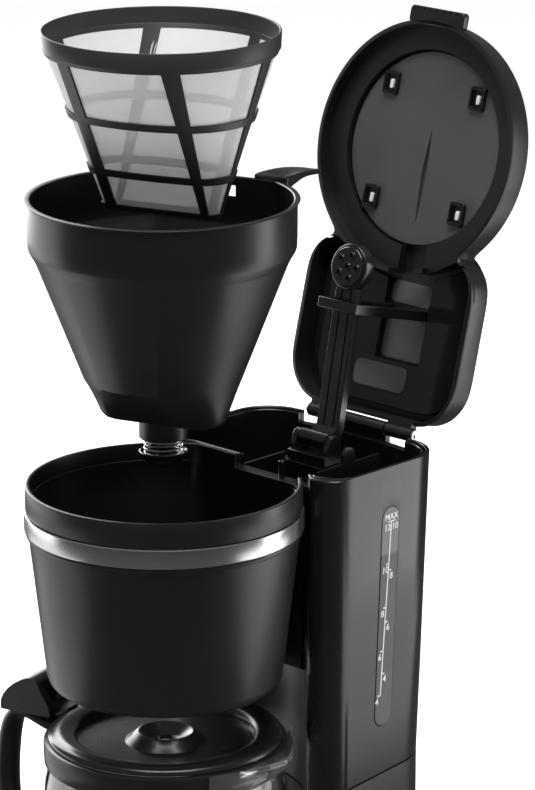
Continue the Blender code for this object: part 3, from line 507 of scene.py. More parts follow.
def build_housing():
    outside = [(60, LOW), (62.4, LOW + 0.3), (64.0, LOW + 1.4), (65.1, LOW + 3.2), (66, LOW + 6),
               (75.3, RIM - 29), (75.9, RIM - 28.6), (76.7, RIM - 28.1), (76.95, RIM - 27.4),
               (77, RIM - 26.3), (76.8, RIM - 25.9), (76.1, RIM - 25.8), (76.1, RIM - 14.2),
               (76.85, RIM - 14.1), (77, RIM - 13.8), (77, RIM - 0.7), (76.8, RIM - 0.2), (76.3, RIM)]
    inside = [(75.0, RIM), (74.55, RIM - 0.2), (74.4, RIM - 0.7), (74.4, RIM - 9.6), (74.1, RIM - 9.9),
              (74.1, RIM - 26), (72.2, RIM - 31), (63.6, LOW + 7), (62.0, LOW + 3.8), (60.5, LOW + 2.8)]
    rings = [at(d_shape(OUTLET_R, OUTLET_R - 1), LOW)]
    rings += [at(d_shape(r, FLAT), z) for r, z in outside]
    rings += [at(d_shape(r, FLAT - 2.5), z) for r, z in inside]
    rings += [at(d_shape(OUTLET_R, OUTLET_R - 1), LOW + 2.8)]
    housing = skin("housing_shell", rings, closed=True)
    cut(housing, notch(52, 70))
    tabs = []
    for angle in (-88, -81):
        tab = block("tab", 69.5, 75.0, -2.2, 2.2, RIM - 5.4, RIM - 3.8)
        tab.data.transform(Matrix.Rotation(radians(angle), 4, "Z"))
        tabs.append(tab)
    fuse(housing, *tabs)
    place(housing, SATIN, "machine", ["brew_housing"])
    loop = [(76.3, RIM - 25.5), (77.4, RIM - 25.4), (77.62, RIM - 25.1), (77.7, RIM - 24.6),
            (77.7, RIM - 15.4), (77.62, RIM - 14.9), (77.4, RIM - 14.6), (76.3, RIM - 14.5)]
    rings = [[(r * x, r * y, z) for r, z in loop] for x, y in arc(0, 0, 1.0, -225, 45, 160)]
    place(skin("trim_band_metal", rings), CHROME, "machine", ["trim_band"])


def build_column():
    shoulder = LOW - 1
    low = shoulder - 1.0
    upper = [(0, RIM - 0.8), (0.25, RIM - 0.25), (0.8, RIM), (WALL - 0.5, RIM), (WALL, RIM - 0.5)]
    rings = [seam_ring(0.5, 0.2), seam_ring(0, 0.8), at(column_shape(low, 0, ARC), low),
             at(column_shape(shoulder, 0, COLUMN_FLAT), shoulder)]
    rings += [at(column_shape(RIM, inset, COLUMN_FLAT), z) for inset, z in upper]
    rings += [at(column_shape(shoulder + 3, WALL, COLUMN_FLAT), shoulder + WALL),
              at(column_shape(shoulder, WALL, ARC), shoulder + WALL - 1), seam_ring(WALL, 0.2)]
    shell = skin("column_skin", rings, closed=True)
    cut(shell, notch(55, 76), hinge_notch(), gauge_slug("slot", 0.3, 9.0, 5.0))
    place(shell, COLUMN, "machine", ["column_shell"], bevel=0.25)
    window = gauge_slug("gauge_window", 0.0, 1.6, 0.35)
    place(window, SMOKE, "machine", ["water_window"], bevel=0.3)


def on_side(name, loop, inside, outside):
    """A skin of the column's leaning side from its (y, z) outline."""
    return skin(name, [[(half_width(z) + out, y, z) for y, z in loop] for out in (inside, outside)])


def gauge_slug(name, margin, depth, out):
    half = GAUGE_R + margin
    turn = [pi * k / 24 for k in range(25)]
    loop = [(GAUGE_Y + half * cos(a), GAUGE_TOP + half * sin(a)) for a in turn]
    loop += [(GAUGE_Y - half * cos(a), GAUGE_FOOT - half * sin(a)) for a in turn]
    return on_side(name, loop, -depth, out)


def build_gauge_marks():
    """Scale line, ticks and generic numerals on the window."""
    face = 0.36
    lean = (TOP_HW - LOW_HW) / (RIM - SEAM_Z)

    def line_y(z):
        return 110.4 - 3.6 * (RIM - 32 - z) / 105.0

    def bar(name, y0, y1, z0, z1):
        return on_side(name, [(y0, z0), (y1, z0), (y1, z1), (y0, z1)], face - 0.1, face + 0.1)

    top = RIM - 33
    foot = RIM - 137
    half = 0.42
    loop = [(line_y(foot) - half, foot), (line_y(foot) + half, foot), (line_y(top) + half, top),
            (line_y(top) - half, top)]
    marks = [on_side("scale_line", loop, face - 0.1, face + 0.1)]
    marks.append(bar("tick_top", line_y(top) - 3.2, line_y(top) + 3.2, top, top + 0.6))
    for label, sign, drop in (("10", -1, 58), ("8", -1, 84), ("6", -1, 110), ("4", -1, 137),
                              ("8", 1, 62), ("6", 1, 93), ("4", 1, 124)):
        z = RIM - drop
        y = line_y(z)
        marks.append(bar("tick", min(y, y + 2.3 * sign), max(y, y + 2.3 * sign), z - 0.45, z + 0.45))
        marks.append(numeral(label, y + 2.6 * sign, z - 5.2, 4.2, lean, face))
    marks.append(numeral("MAX", line_y(top), top + 1.5, 3.9, lean, face))
    marks.append(numeral("12", line_y(top) - 3.0, top - 4.8, 4.0, lean, face))
    marks.append(numeral("10", line_y(top) + 3.2, top - 4.8, 4.0, lean, face))
    for mark in marks:
        place(mark, WHITE, "machine", angle=20)


def numeral(text, y, z, size, lean, face):
    """A raised figure or word on the window, which leans with the column's side."""
    curve = bpy.data.curves.new("numeral", "FONT")
    curve.body = text
    curve.size = size * 1.3
    curve.align_x = "CENTER"
    curve.extrude = 0.08
    curve.offset = 0.09
    curve.resolution_u = 3
    carrier = bpy.data.objects.new("numeral", curve)
    bpy.context.collection.objects.link(carrier)
    bpy.context.view_layer.update()
    mesh = bpy.data.meshes.new_from_object(carrier.evaluated_get(bpy.context.evaluated_depsgraph_get()))
    bpy.data.objects.remove(carrier, do_unlink=True)
    mesh.transform(Matrix(((0, 0, 1, half_width(z) + face), (1, 0, 0, y), (0, 1, 0, z), (0, 0, 0, 1))))
    mesh.transform(Matrix.Translation((-lean * z, 0, 0)))
    mesh.transform(Matrix(((1, 0, lean, 0), (0, 1, 0, 0), (0, 0, 1, 0), (0, 0, 0, 1))))
    obj = bpy.data.objects.new("numeral_" + text, mesh)
    bpy.context.collection.objects.link(obj)
    return obj


def build_tank():
    shoulder = LOW + 3.0
    top = RIM - 1.2
    floor = FLOOR_Z + 3.0
    inner = 4.9
    outer = 3.1
    lip = [(outer, top - 0.4), (outer + 0.4, top), (inner - 0.4, top), (inner, top - 0.4)]
    rings = [at(column_shape(0, outer, ARC), floor), at(column_shape(shoulder, outer, ARC), shoulder),
             at(column_shape(shoulder, outer, COLUMN_FLAT), shoulder + 0.5)]
    rings += [at(column_shape(top, inset, COLUMN_FLAT), z) for inset, z in lip]
    rings += [at(column_shape(shoulder, inner, COLUMN_FLAT), shoulder + 2.5),
              at(column_shape(shoulder, inner, ARC), shoulder + 2),
              at(column_shape(0, inner, ARC), floor + 2)]
    tank = skin("tank_wall", rings)
    front = COLUMN_FLAT + 3.7
    fuse(tank, block("partition", 48.2, 49.7, front, 122, RIM - 60, RIM),
         block("rail", -11.2, -9.7, front, 108, RIM - 60, RIM - 8),
         block("shelf", -11, 49, 103, 127, RIM - 13, RIM - 11))
    loop = [(92, RIM - 2), (102, RIM - 2)] + arc(97, RIM + 4, 5.0, 0, 180, 20)
    fuse(tank, slab("tab", loop, 48.2, 49.7))
    cut(tank, notch(60, 73.6), hinge_notch())
    post = [(0, RIM - 14), (1.8, RIM - 14), (1.8, RIM + 0.4), (1.4, RIM + 0.8), (0, RIM + 0.8)]
    fuse(tank, turned("post", post, 21, 72.5, 24))
    place(tank, SHEEN, "machine", ["reservoir_tank"], bevel=0.2)


# ---- lid and arm ----
def build_lid():
    levels = [(0.5, LID_LOW), (0.12, LID_LOW + 0.15), (0.0, LID_LOW + 0.5), (0.0, LID_LOW + 3.2),
              (0.25, LID_LOW + 3.5), (0.9, LID_LOW + 3.7), (0.9, LID_TOP - 2.6), (1.2, LID_TOP - 1.4),
              (2.0, LID_TOP - 0.5), (3.4, LID_TOP - 0.1), (5.4, LID_TOP)]
    shell = skin("lid_cap", [at(lid_shape(i), z) for i, z in levels])
    ceiling = LID_CEILING
    rooms = [prism("ring_room", circle(LID_R - LID_WALL, sides=ROUND), LID_LOW - 3, LID_TOP - 9.4),
             prism("disc_room", circle(57.0, sides=ROUND), LID_LOW - 3, ceiling),
             prism("rear_room", cover_shape(0), LID_LOW - 3, ceiling),
             block("neck_gap", -1.5, 17.5, 50, 80, LID_LOW - 1, ceiling),
             block("handle_gap", 23.5, 47, 50, 80, LID_LOW - 1, LID_LOW + 4.6)]
    cut(shell, *rooms)
    for side in (-1, 1):
        barrel = rod("barrel", 4.0, (20.5 * side, HINGE_Y, RIM), (40.0 * side, HINGE_Y, RIM))
        ear = block("ear", *sorted((21 * side, 39 * side)), 154, HINGE_Y, RIM - 2, RIM + 3)
        fuse(shell, ear, barrel)
    place(shell, SATIN, "lid", ["lid_shell"], LID_POSE, bevel=0.35)
    build_lid_tab()
    profile = [(0, LID_TOP - 6.1), (55.6, LID_TOP - 6.1), (56, LID_TOP - 5.7), (56, ceiling - 0.4),
               (0, ceiling - 0.4)]
    disc = turned("lid_disc", profile, sides=ROUND)
    leaf = []
    for a in (2 * pi * k / 64 for k in range(64)):
        y = 16 + 28 * sin(a)
        side = 1 if cos(a) > 0.001 else -1
        leaf.append((2.5 + 1.9 * (1 - abs((y - 16) / 28.001) ** 1.4) * side, y))
    cut(disc, prism("leaf", leaf, LID_LOW, LID_TOP - 3.6))
    place(disc, DISC, "lid", ["lid_inner_disc"], LID_POSE)
    for number, (x, y) in enumerate([(x, y) for x in (-33, 33) for y in (-33.5, 33.5)], 1):
        frame = soft_prism(f"lid_clip_{number}", lambda i: rounded_box(x, y, 5.5 - i, 7.0 - i, 1.8),
                           LID_TOP - 8.6, LID_TOP - 6.0, 0.4)
        cut(frame, prism("pocket", rounded_box(x, y, 3.9, 5.2, 0.8), LID_TOP - 9, LID_TOP - 6.6))
        place(frame, GLOSS, "lid", pose=LID_POSE, bevel=0.2)
        tongue = soft_prism(f"clip_tongue_{number}",
                            lambda i: rounded_box(x + 0.9, y + 0.4, 1.2 - i, 2.7 - i, 0.9),
                            LID_TOP - 8.2, LID_TOP - 6.5, 0.25)
        place(tongue, WHITE, "lid", pose=LID_POSE)
    build_cover()


def rounded_box(cx, cy, hx, hy, corner):
    points = []
    for sx, sy, start in ((1, -1, -90), (1, 1, 0), (-1, 1, 90), (-1, -1, 180)):
        points += arc(cx + sx * (hx - corner), cy + sy * (hy - corner), corner, start, start + 90, 7)
    return points


def build_lid_tab():
    """Ribbed thumb tab on the lid's front edge."""
    tab = soft_prism("lid_tab", lambda i: rounded_box(0, -75.1, 20.5 - i, 5.1 - i, 2.4),
                     LID_LOW, LID_LOW + 5.0, 0.8)
    cut(tab, *[block("groove", x - 0.4, x + 0.4, -81, -77.8, LID_LOW - 1, LID_LOW + 6)
               for x in range(-15, 16, 5)])
    place(tab, SATIN, "lid", pose=LID_POSE, bevel=0.15)


def build_cover():
    """Inner cover of the lid's rear part, its pads and the strap that lifts the arm."""
    top = LID_TOP
    ceiling = LID_CEILING
    panel = skin("cover_panel", [at(cover_shape(4.4), top - 7.0), at(cover_shape(4.0), top - 6.6),
                                 at(cover_shape(4.0), ceiling - 0.4)])
    cut(panel, block("strap_room", -9, 25, 60, 124, LID_LOW, top))
    place(panel, GLOSS, "lid", ["lid_cover_panel"], LID_POSE, bevel=0.3)
    pads = [("cover_pad_1", 8, 84, 16.0, 6.4, ceiling), ("cover_pad_2", 8, 111, 16.0, 12.0, ceiling),
            ("cover_pad_3", -2, 134, 20.0, 7.5, top - 6.9)]
    for name, x, y, hx, hy, back in pads:
        pad = soft_prism(name, lambda i: rounded_box(x, y, hx - i, hy - i, 4.0), back - 0.7, back, 0.25)
        look = DISC if name == "cover_pad_1" else PANEL
        place(pad, look, "lid", pose=LID_POSE)
    foot = LID_LOW - 50
    loop = [(-6.5, ceiling - 0.4), (-6.5, foot), (22.5, foot), (22.5, ceiling - 0.4), (20.3, ceiling - 0.4),
            (20.3, foot + 2.6), (-4.3, foot + 2.6), (-4.3, ceiling - 0.4)]
    strap = skin("lift_strap", [[(x, y, z) for x, z in loop] for y in (STRAP_Y - 3, STRAP_Y + 3)])
    place(strap, SHEEN, "lid", ["arm_strap"], LID_POSE, bevel=0.6, parts=3)


def build_hinges():
    """The lid's hinge on the column, and the bracket of the shower arm."""
    knuckle = rod("hinge_knuckle", 4.0, (-19.5, HINGE_Y, RIM), (19.5, HINGE_Y, RIM))
    fuse(knuckle, block("plate", -19.5, 19.5, 160.9, HINGE_Y + 3.0, RIM - 28, RIM - 0.5))
    place(knuckle, SATIN, "machine", ["hinge_bracket"], bevel=0.4)
    profile = [(0, 0), (1.4, 0), (1.6, 0.3), (1.6, 85.7), (1.4, 86), (0, 86)]
    pin = along(turned("hinge_pin", profile, sides=32), (-43, HINGE_Y, RIM), (1, 0, 0))
    place(pin, STEEL, "machine", ["lid_hinge_pin"])
    profile = [(1.7, 0), (3.3, 0), (3.6, 0.3), (3.6, 1.2), (3.3, 1.5), (1.7, 1.5)]
    ring = along(turned("hinge_pin_ring", profile, sides=32), (40.6, HINGE_Y, RIM), (1, 0, 0))
    place(ring, STEEL, "machine")
    base = RIM - 10.6
    holder = block("arm_block", -6.5, 22.5, 106, 120, base, RIM - 5.2)
    for x in (-6.5, 18.9):
        loop = [(108, base), (120, base), (120, RIM + 2)]
        loop += arc(ARM_Y, RIM + 1.4, 4.6, 20, 160, 14) + [(108, RIM - 2)]
        fuse(holder, slab("cheek", loop, x, x + 3.6))
    place(holder, SHEEN, "machine", ["arm_bracket"], bevel=0.4)
    pin = rod("arm_pin", 1.6, (-6.3, ARM_Y, ARM_Z), (22.3, ARM_Y, ARM_Z))
    place(pin, STEEL, "machine", ["arm_pivot_pin"])


def arm_section(half, low, high):
    """Cross-section (x, z) of the arm's beam, with two grooves along its lower face."""
    points = [(-half, high), (-half + 0.8, high + 0.3), (half - 0.8, high + 0.3), (half, high)]
    lower = [(half, low + 0.7), (half - 0.7, low)]
    for middle in (0.55 * half, -0.3 * half):
        lower += [(middle + 0.55, low), (middle + 0.4, low + 0.9),
                  (middle - 0.4, low + 0.9), (middle - 0.55, low)]
    lower += [(-half + 0.7, low), (-half, low + 0.7)]
    return points + lower


def build_arm():
    z = ARM_Z
    stations = [(-3.0, 8.2, 3.5, 11.4), (-8.0, 8.4, 6.6, 12.2), (-12.0, 8.4, 6.6, 11.9),
                (-46.0, 8.4, 4.4, 9.8), (-84.0, 8.0, 2.1, 7.4), (-88.0, 7.4, 1.9, 7.2)]
    rings = [[(ARM_X + x, ARM_Y + y, z + dz) for x, dz in arm_section(half, low, high)]
             for y, half, low, high in stations]
    beam = skin("arm_beam", rings)
    tip_y = ARM_Y - ARM_LENGTH
    head = soft_prism("arm_head", lambda i: circle(13.2 - i, ARM_X, tip_y, 64), z + 0.6, z + 8.4, 1.0)
    well = turned("well", [(0, z), (11.6, z), (11.6, z + 1.3), (0, z + 1.3)], ARM_X, tip_y)
    barrel = rod("arm_barrel", 4.8, (ARM_X - 10.2, ARM_Y, z), (ARM_X + 10.2, ARM_Y, z), 40)
    wedge = [(3.0, 0.5), (3.4, 9.0), (0.0, 11.6), (-4.0, 11.5), (-8.0, 6.8), (-4.0, 3.0)]
    root = slab("root", [(ARM_Y + dy, z + dz) for dy, dz in wedge], ARM_X - 8.2, ARM_X + 8.2)
    fuse(beam, head, barrel, root)
    cut(beam, well)
    place(beam, SHEEN, "arm", ["shower_arm"], ARM_POSE, bevel=0.2)
    profile = [(0, z - 0.2), (11.0, z - 0.2), (11.4, z + 0.2), (11.4, z + 1.0), (0, z + 1.0)]
    face = turned("spray_face", profile, ARM_X, tip_y)
    nozzle = [(1.2, z + 0.4), (1.2, z - 0.5), (1.5, z - 0.6), (2.1, z - 0.6), (2.4, z - 0.3), (2.4, z + 0.4)]
    bore = [(0, z - 2), (1.3, z - 2), (1.3, z + 0.7), (0, z + 0.7)]
    spots = [(0.0, 0.0)] + [(6.8 * cos(a), 6.8 * sin(a)) for a in (2 * pi * k / 5 for k in range(5))]
    for dx, dy in spots:
        ring = turned("nozzle", nozzle, ARM_X + dx, tip_y + dy, 24)
        cut(face, turned("hole", bore, ARM_X + dx, tip_y + dy, 24))
        place(ring, GLOSS, "arm", pose=ARM_POSE)
    place(face, SHEEN, "arm", ["shower_face"], ARM_POSE)


# ---- brew basket, valve and filter ----
def basket_wall(grow):
    """Rings of the basket's wall from its rim to its foot, grown outwards."""
    levels = [(73.8, 0.0), (73.7, -20.0), (73.5, -26.4), (73.0, -28.0), (70.3, -32.6), (69.4, -34.4),
              (44.0, -100.0)]
    rings = [at(d_shape(r + grow, BASKET_FLAT - (73.4 - r) * 0.9 + grow, 8.0), z) for r, z in levels]
    first = rings[-1]
    last = at(stadium(75 + 2 * grow, 30 + 2 * grow), -121.5 - grow)
    for t in (0.25, 0.5, 0.75):
        rings.append([tuple(a[j] + (b[j] - a[j]) * t for j in range(3)) for a, b in zip(first, last)])
    rings.append(last)
    for shrink, z in ((1.2, -123.0), (3.0, -124.8), (6.0, -125.8), (10.0, -126.0)):
        rings.append(at(stadium(76 + 2 * grow - 2 * shrink, 30 + 2 * grow - 1.6 * shrink), z - grow))
    return rings


def build_basket():
    flat = BASKET_FLAT
    rim = [at(d_shape(r, flat + out), z) for r, out, z in (
        (74.3, 0.6, -0.95), (75.0, 1.0, -0.75), (75.3, 1.2, -0.4), (75.1, 1.1, -0.1), (74.6, 0.7, 0.0),
        (72.4, -1.0, 0.0), (71.8, -1.6, -0.4))]
    outer = [at(d_shape(73.8, flat, 8.0), -1.1)] + basket_wall(0)[1:]
    inner = basket_wall(-1.8)[1:]
    basket = skin("basket_wall", outer[::-1] + rim + inner)
    fins = []
    for angle in (200, 212, 236, 260, 290, 320, 350):
        fin = block("fin", 67.2, 71.9, -0.5, 0.5, -30.2, -13.0)
        fin.data.transform(Matrix.Rotation(radians(angle), 4, "Z"))
        fins.append(fin)
    profile = [(0, -135.5), (12.9, -135.5), (13.5, -134.9), (13.5, -124.6), (0, -124.6)]
    boss = turned("boss", profile, sides=64)
    fuse(basket, boss, *fins)
    bore = turned("bore", [(0, -140), (8.5, -140), (8.5, -120), (0, -120)], sides=48)
    cut(basket, bore, block("window", 9.5, 14.5, 55, 75, -11.5, -5.0))
    place(basket, SATIN, "basket", ["brew_basket"], BASKET_POSE, angle=28)
    build_handle()


def build_handle():
    """Tongue with a dished root, drooping to a rounded tip."""
    stations = [
        (61.6, 10.6, 2.8, 0.0, -7.6), (64.0, 10.6, 2.8, 0.2, -7.2), (68.0, 10.7, 2.7, 2.4, -6.6),
        (74.0, 10.6, 2.2, 4.4, -5.6), (80.0, 10.4, 1.7, 4.0, -4.8), (87.0, 10.0, 0.9, 2.0, -4.0),
        (96.0, 9.6, -0.3, 0.9, -4.4), (104.0, 9.2, -1.9, 0.7, -5.6), (111.0, 8.4, -3.3, 0.5, -6.7),
        (116.0, 6.8, -4.4, 0.3, -7.4), (118.4, 4.2, -5.2, 0.1, -7.5)]
    rings = []
    for y, half, top, dish, low in stations:
        profile = [(-1.0, top - 0.9), (-0.92, top - 0.1), (-0.6, top - 0.35 * dish), (0.0, top - dish),
                   (0.6, top - 0.35 * dish), (0.92, top - 0.1), (1.0, top - 0.9), (0.9, low + 0.5),
                   (0.5, low), (-0.5, low), (-0.9, low + 0.5)]
        rings.append([(HANDLE_X + half * x, y, z) for x, z in profile])
    handle = skin("basket_handle", rings)
    subdivide(handle, 2)
    place(handle, SATIN, "basket", pose=BASKET_POSE, angle=180)


def build_valve():
    bush = turned("valve_bush", [(4.6, -138.0), (7.7, -138.0), (8.0, -137.7), (8.0, -123.8), (8.9, -123.8),
                                 (8.9, -122.6), (4.6, -122.6)], sides=48)
    place(bush, NATURAL, "lift", ["outlet_bush"], BASKET_POSE)
    profile = [(4.6, -122.2), (7.2, -122.2), (7.4, -121.9), (7.4, -121.3), (7.1, -121), (4.6, -121)]
    seal = turned("seal_ring", profile, sides=48)
    place(seal, RED, "carry", ["valve_seal"], BASKET_POSE)
    stem = [(0, -153.5), (1.1, -153.5), (1.4, -153.2), (1.4, -150.2), (7.0, -149.8), (10.2, -148.6),
            (12.6, -146.6), (13.5, -144.2), (13.6, -143.2), (13.3, -143.0), (12.7, -143.0), (12.2, -143.6),
            (11.2, -145.4), (8.0, -146.4), (3.0, -146.6), (3.0, -120.6), (6.4, -120.6), (6.4, -119.4),
            (0, -119.4)]
    place(turned("valve_stem", stem, sides=64), GLOSS, "valve", ["drip_valve"], BASKET_POSE)
    steps = 36
    path = []
    for k in range(COIL_TURNS * steps + 1):
        a = 2 * pi * k / steps
        share = min(1.0, max(0.0, (k - steps * 0.5) / (steps * (COIL_TURNS - 1))))
        path.append((COIL_R * cos(a), COIL_R * sin(a), -144.2 + 7.8 * share))
    place(pipe("valve_coil", path, WIRE_R, 10), STEEL, "valve", ["valve_spring"], BASKET_POSE)


def filter_section(level, grow):
    """Section from 0 (round, under the ring) to 1 (a thin slot): two flat faces and two round ends."""
    points = []
    for k in range(COLUMNS):
        a = 360.0 * k / COLUMNS
        turn = radians(a)
        side = (a + 60) % 180
        end = 1 if a < 90 or a > 270 else -1
        if side <= 120:
            swing = radians((side - 60) * 1.5)
            low = (end * (SLOT_HALF + (SLOT_R + grow) * cos(swing)), end * (SLOT_R + grow) * sin(swing))
        else:
            share = (side - 120) / 60
            up = 1 if a < 180 else -1
            low = (up * (SLOT_HALF - 2 * SLOT_HALF * share), up * (SLOT_R + grow))
        high = ((FILTER_R + grow) * cos(turn), (FILTER_R + grow) * sin(turn))
        points.append(tuple(high[j] + (low[j] - high[j]) * level for j in (0, 1)))
    return points


def lattice(name, inner, outer, keep):
    """A wall between two stacks of rings, with holes where keep(row, column) says no."""
    rows = len(inner)
    columns = len(inner[0])
    verts = [p for ring in inner + outer for p in ring]

    def index(layer, row, column):
        return (layer * rows + row) * columns + column % columns

    def kept(row, column):
        return 0 <= row < rows - 1 and keep(row, column % columns)

    faces = []
    for row in range(rows - 1):
        for column in range(columns):
            if not kept(row, column):
                continue
            ends = [(row, column), (row, column + 1), (row + 1, column + 1), (row + 1, column)]
            faces.append([index(0, *e) for e in ends])
            faces.append([index(1, *e) for e in ends[::-1]])
            for beside, a, b in (((row - 1, column), 0, 1), ((row, column + 1), 1, 2),
                                 ((row + 1, column), 2, 3), ((row, column - 1), 3, 0)):
                if not kept(*beside):
                    faces.append([index(0, *ends[b]), index(0, *ends[a]),
                                  index(1, *ends[a]), index(1, *ends[b])])
    used = sorted({v for face in faces for v in face})
    spot = {v: i for i, v in enumerate(used)}
    return solid(name, [verts[v] for v in used], [[spot[v] for v in face] for face in faces])


def build_filter():
    def rings(shares, grow):
        return [at(filter_section(f, grow), FILTER_TOP - FILTER_SPAN * f) for f in shares]

    levels = [0.0, 0.03, 0.37, 0.418, 0.722, 0.77, 0.965, 1.0]
    pitch = COLUMNS // RIBS
    frame = lattice("filter_cage", rings(levels, 0.3), rings(levels, 1.9),
                    lambda row, k: row not in (1, 3, 5) or (k + 2) % pitch < 5)
    place(frame, RIBBED, "filter", ["filter_frame"], FILTER_POSE, bevel=0.3)
    profile = [(62.9, -9.6), (64.3, -9.6), (64.7, -9.2), (65.15, -0.5), (64.9, -0.1), (64.6, 0.0),
               (64.2, 0.0), (63.9, -0.3)]
    band = turned("filter_ring", profile, sides=ROUND)
    place(band, RIBBED, "filter", pose=FILTER_POSE)
    sheet = [0.01 + 0.98 * k / 12 for k in range(13)]
    gauze = skin("filter_gauze", rings(sheet, 0.55) + rings(sheet, 0.35)[::-1], closed=True)
    place(gauze, GAUZE, "filter", ["filter_mesh"], FILTER_POSE)


# ---- carafe ----
def build_carafe():
    foot = PLATE + 0.4
    profile = [(50, foot), (54.5, foot + 0.8), (58, foot + 3), (62.6, foot + 8.4), (66, foot + 16),
               (69.2, foot + 31), (70.5, foot + 48), (70.2, foot + 68), (68, foot + 92), (66.2, foot + 101),
               (JUG_R, foot + 107), (JUG_R, foot + 116)]
    inside = [(r - 2.0, z + (2.0 if k < 2 else 0.3)) for k, (r, z) in enumerate(profile[:-1])]
    inside.append((JUG_R - 2.0, foot + 116))
    glass = skin("jug", [at(circle(r, sides=ROUND), z) for r, z in profile + inside[::-1]])
    place(glass, GLASS, "carafe", ["carafe_glass"], CARAFE_POSE, angle=70)
    profile = [(65.4, 143.0), (67.8, 143.0), (68.2, 143.5), (68.6, 149.0), (68.6, 155.2), (68.2, 156.4),
               (67.0, 157.0), (65.4, 157.0)]
    collar = turned("jug_collar", profile, sides=ROUND)
    place(collar, SATIN, "carafe", ["carafe_collar"], CARAFE_POSE)
    dome = [(63.0, 157.5), (66.0, 157.5), (66.4, 157.9), (66.1, 159.2), (65.0, 160.4), (63.0, 161.3),
            (59.5, 161.8), (56.0, 161.7), (53.0, 160.9), (51.0, 159.6), (50.0, 157.6), (49.5, 155.2),
            (22.9, 154.6), (19.0, 157.4), (16.8, 159.5), (15.4, 160.0), (13.8, 159.5), (9.0, 155.4),
            (6.0, 155.0), (6.0, 152.6), (52.0, 152.8), (54.0, 157.5)]
    lid = turned("jug_lid", dome, sides=ROUND)
    fuse(lid, block("ear", 62.0, 76.0, -5.6, 5.6, 158.0, 163.0))
    place(lid, CAP, "carafe_top", ["carafe_lid"], CARAFE_POSE, bevel=0.25)
    build_jug_handle()
    build_spout()


def build_jug_handle():
    line = [(69.2, 149.5), (79.0, 151.5), (89.0, 156.0), (98.0, 156.0), (103.5, 148.0), (106.5, 128.0),
            (107.0, 104.0), (103.0, 84.0), (97.0, 68.0)]
    half = [8.0, 8.4, 9.0, 9.2, 9.4, 9.6, 9.2, 8.6, 7.0]
    thick = [5.5, 4.6, 4.4, 4.8, 5.4, 5.4, 5.2, 4.8, 4.0]
    points = [Vector((x, 0, z)) for x, z in line]
    rings = []
    for i, point in enumerate(points):
        tangent = (points[min(i + 1, len(points) - 1)] - points[max(i - 1, 0)]).normalized()
        out = Vector((tangent.z, 0, -tangent.x))
        turn = [2 * pi * k / 12 for k in range(12)]
        rings.append([point + Vector((0, half[i] * cos(a), 0)) + out * thick[i] * sin(a) for a in turn])
    handle = skin("jug_handle", rings)
    subdivide(handle, 3)
    place(handle, SATIN, "carafe", ["carafe_handle"], CARAFE_POSE, angle=180)
    side = [(70.0, 158.4), (76.0, 157.6), (90.0, 157.2), (103.5, 157.4), (104.0, 159.5), (103.6, 163.0),
            (102.0, 166.6), (99.0, 170.4), (95.0, 173.9), (90.0, 177.0), (86.0, 178.8), (83.0, 179.2),
            (80.4, 178.6), (78.6, 176.8), (74.0, 168.6), (71.0, 164.0)]
    room = [(75.0, 150.0), (108.0, 150.0), (108.0, 163.6), (100.0, 164.4), (92.0, 168.0), (84.0, 169.0),
            (77.5, 164.0)]
    lever = skin("jug_lever", [[(x, y, z) for x, z in side] for y in (-11.6, 11.6)])
    cut(lever, skin("handle_room", [[(x, y, z) for x, z in room] for y in (-10.0, 10.0)]),
        block("ear_room", 60.0, 78.0, -6.0, 6.0, 150.0, 180.0))
    place(lever, SATIN, "carafe_top", ["thumb_lever"], CARAFE_POSE, bevel=0.7, parts=4)
    pin = rod("jug_lid_pin", 1.4, (JUG_PIN[0], -11.4, JUG_PIN[1]), (JUG_PIN[0], 11.4, JUG_PIN[1]))
    place(pin, STEEL, "carafe", ["carafe_lid_pin"], CARAFE_POSE)


def build_spout():
    rings = []
    for x, y in arc(0, 0, 1.0, 142, 218, 60):
        spread = max(0.0, 1 - abs(asin(y)) / radians(38.0))
        out = 70.0 + 9.0 * spread ** 1.5
        loop = [(69.1, 144.0), (out - 1.0, 146.0 + 6 * spread), (out + 0.2, 151.0 + 3 * spread),
                (out + 0.6, 156.0 + spread), (out - 0.2, 157.0 + spread), (out - 0.9, 156.8 + spread),
                (69.1, 152.0)]
        rings.append([(r * x, r * y, z) for r, z in loop])
    place(skin("jug_spout", rings), CLEAR, "carafe", ["pour_spout"], CARAFE_POSE, angle=50)


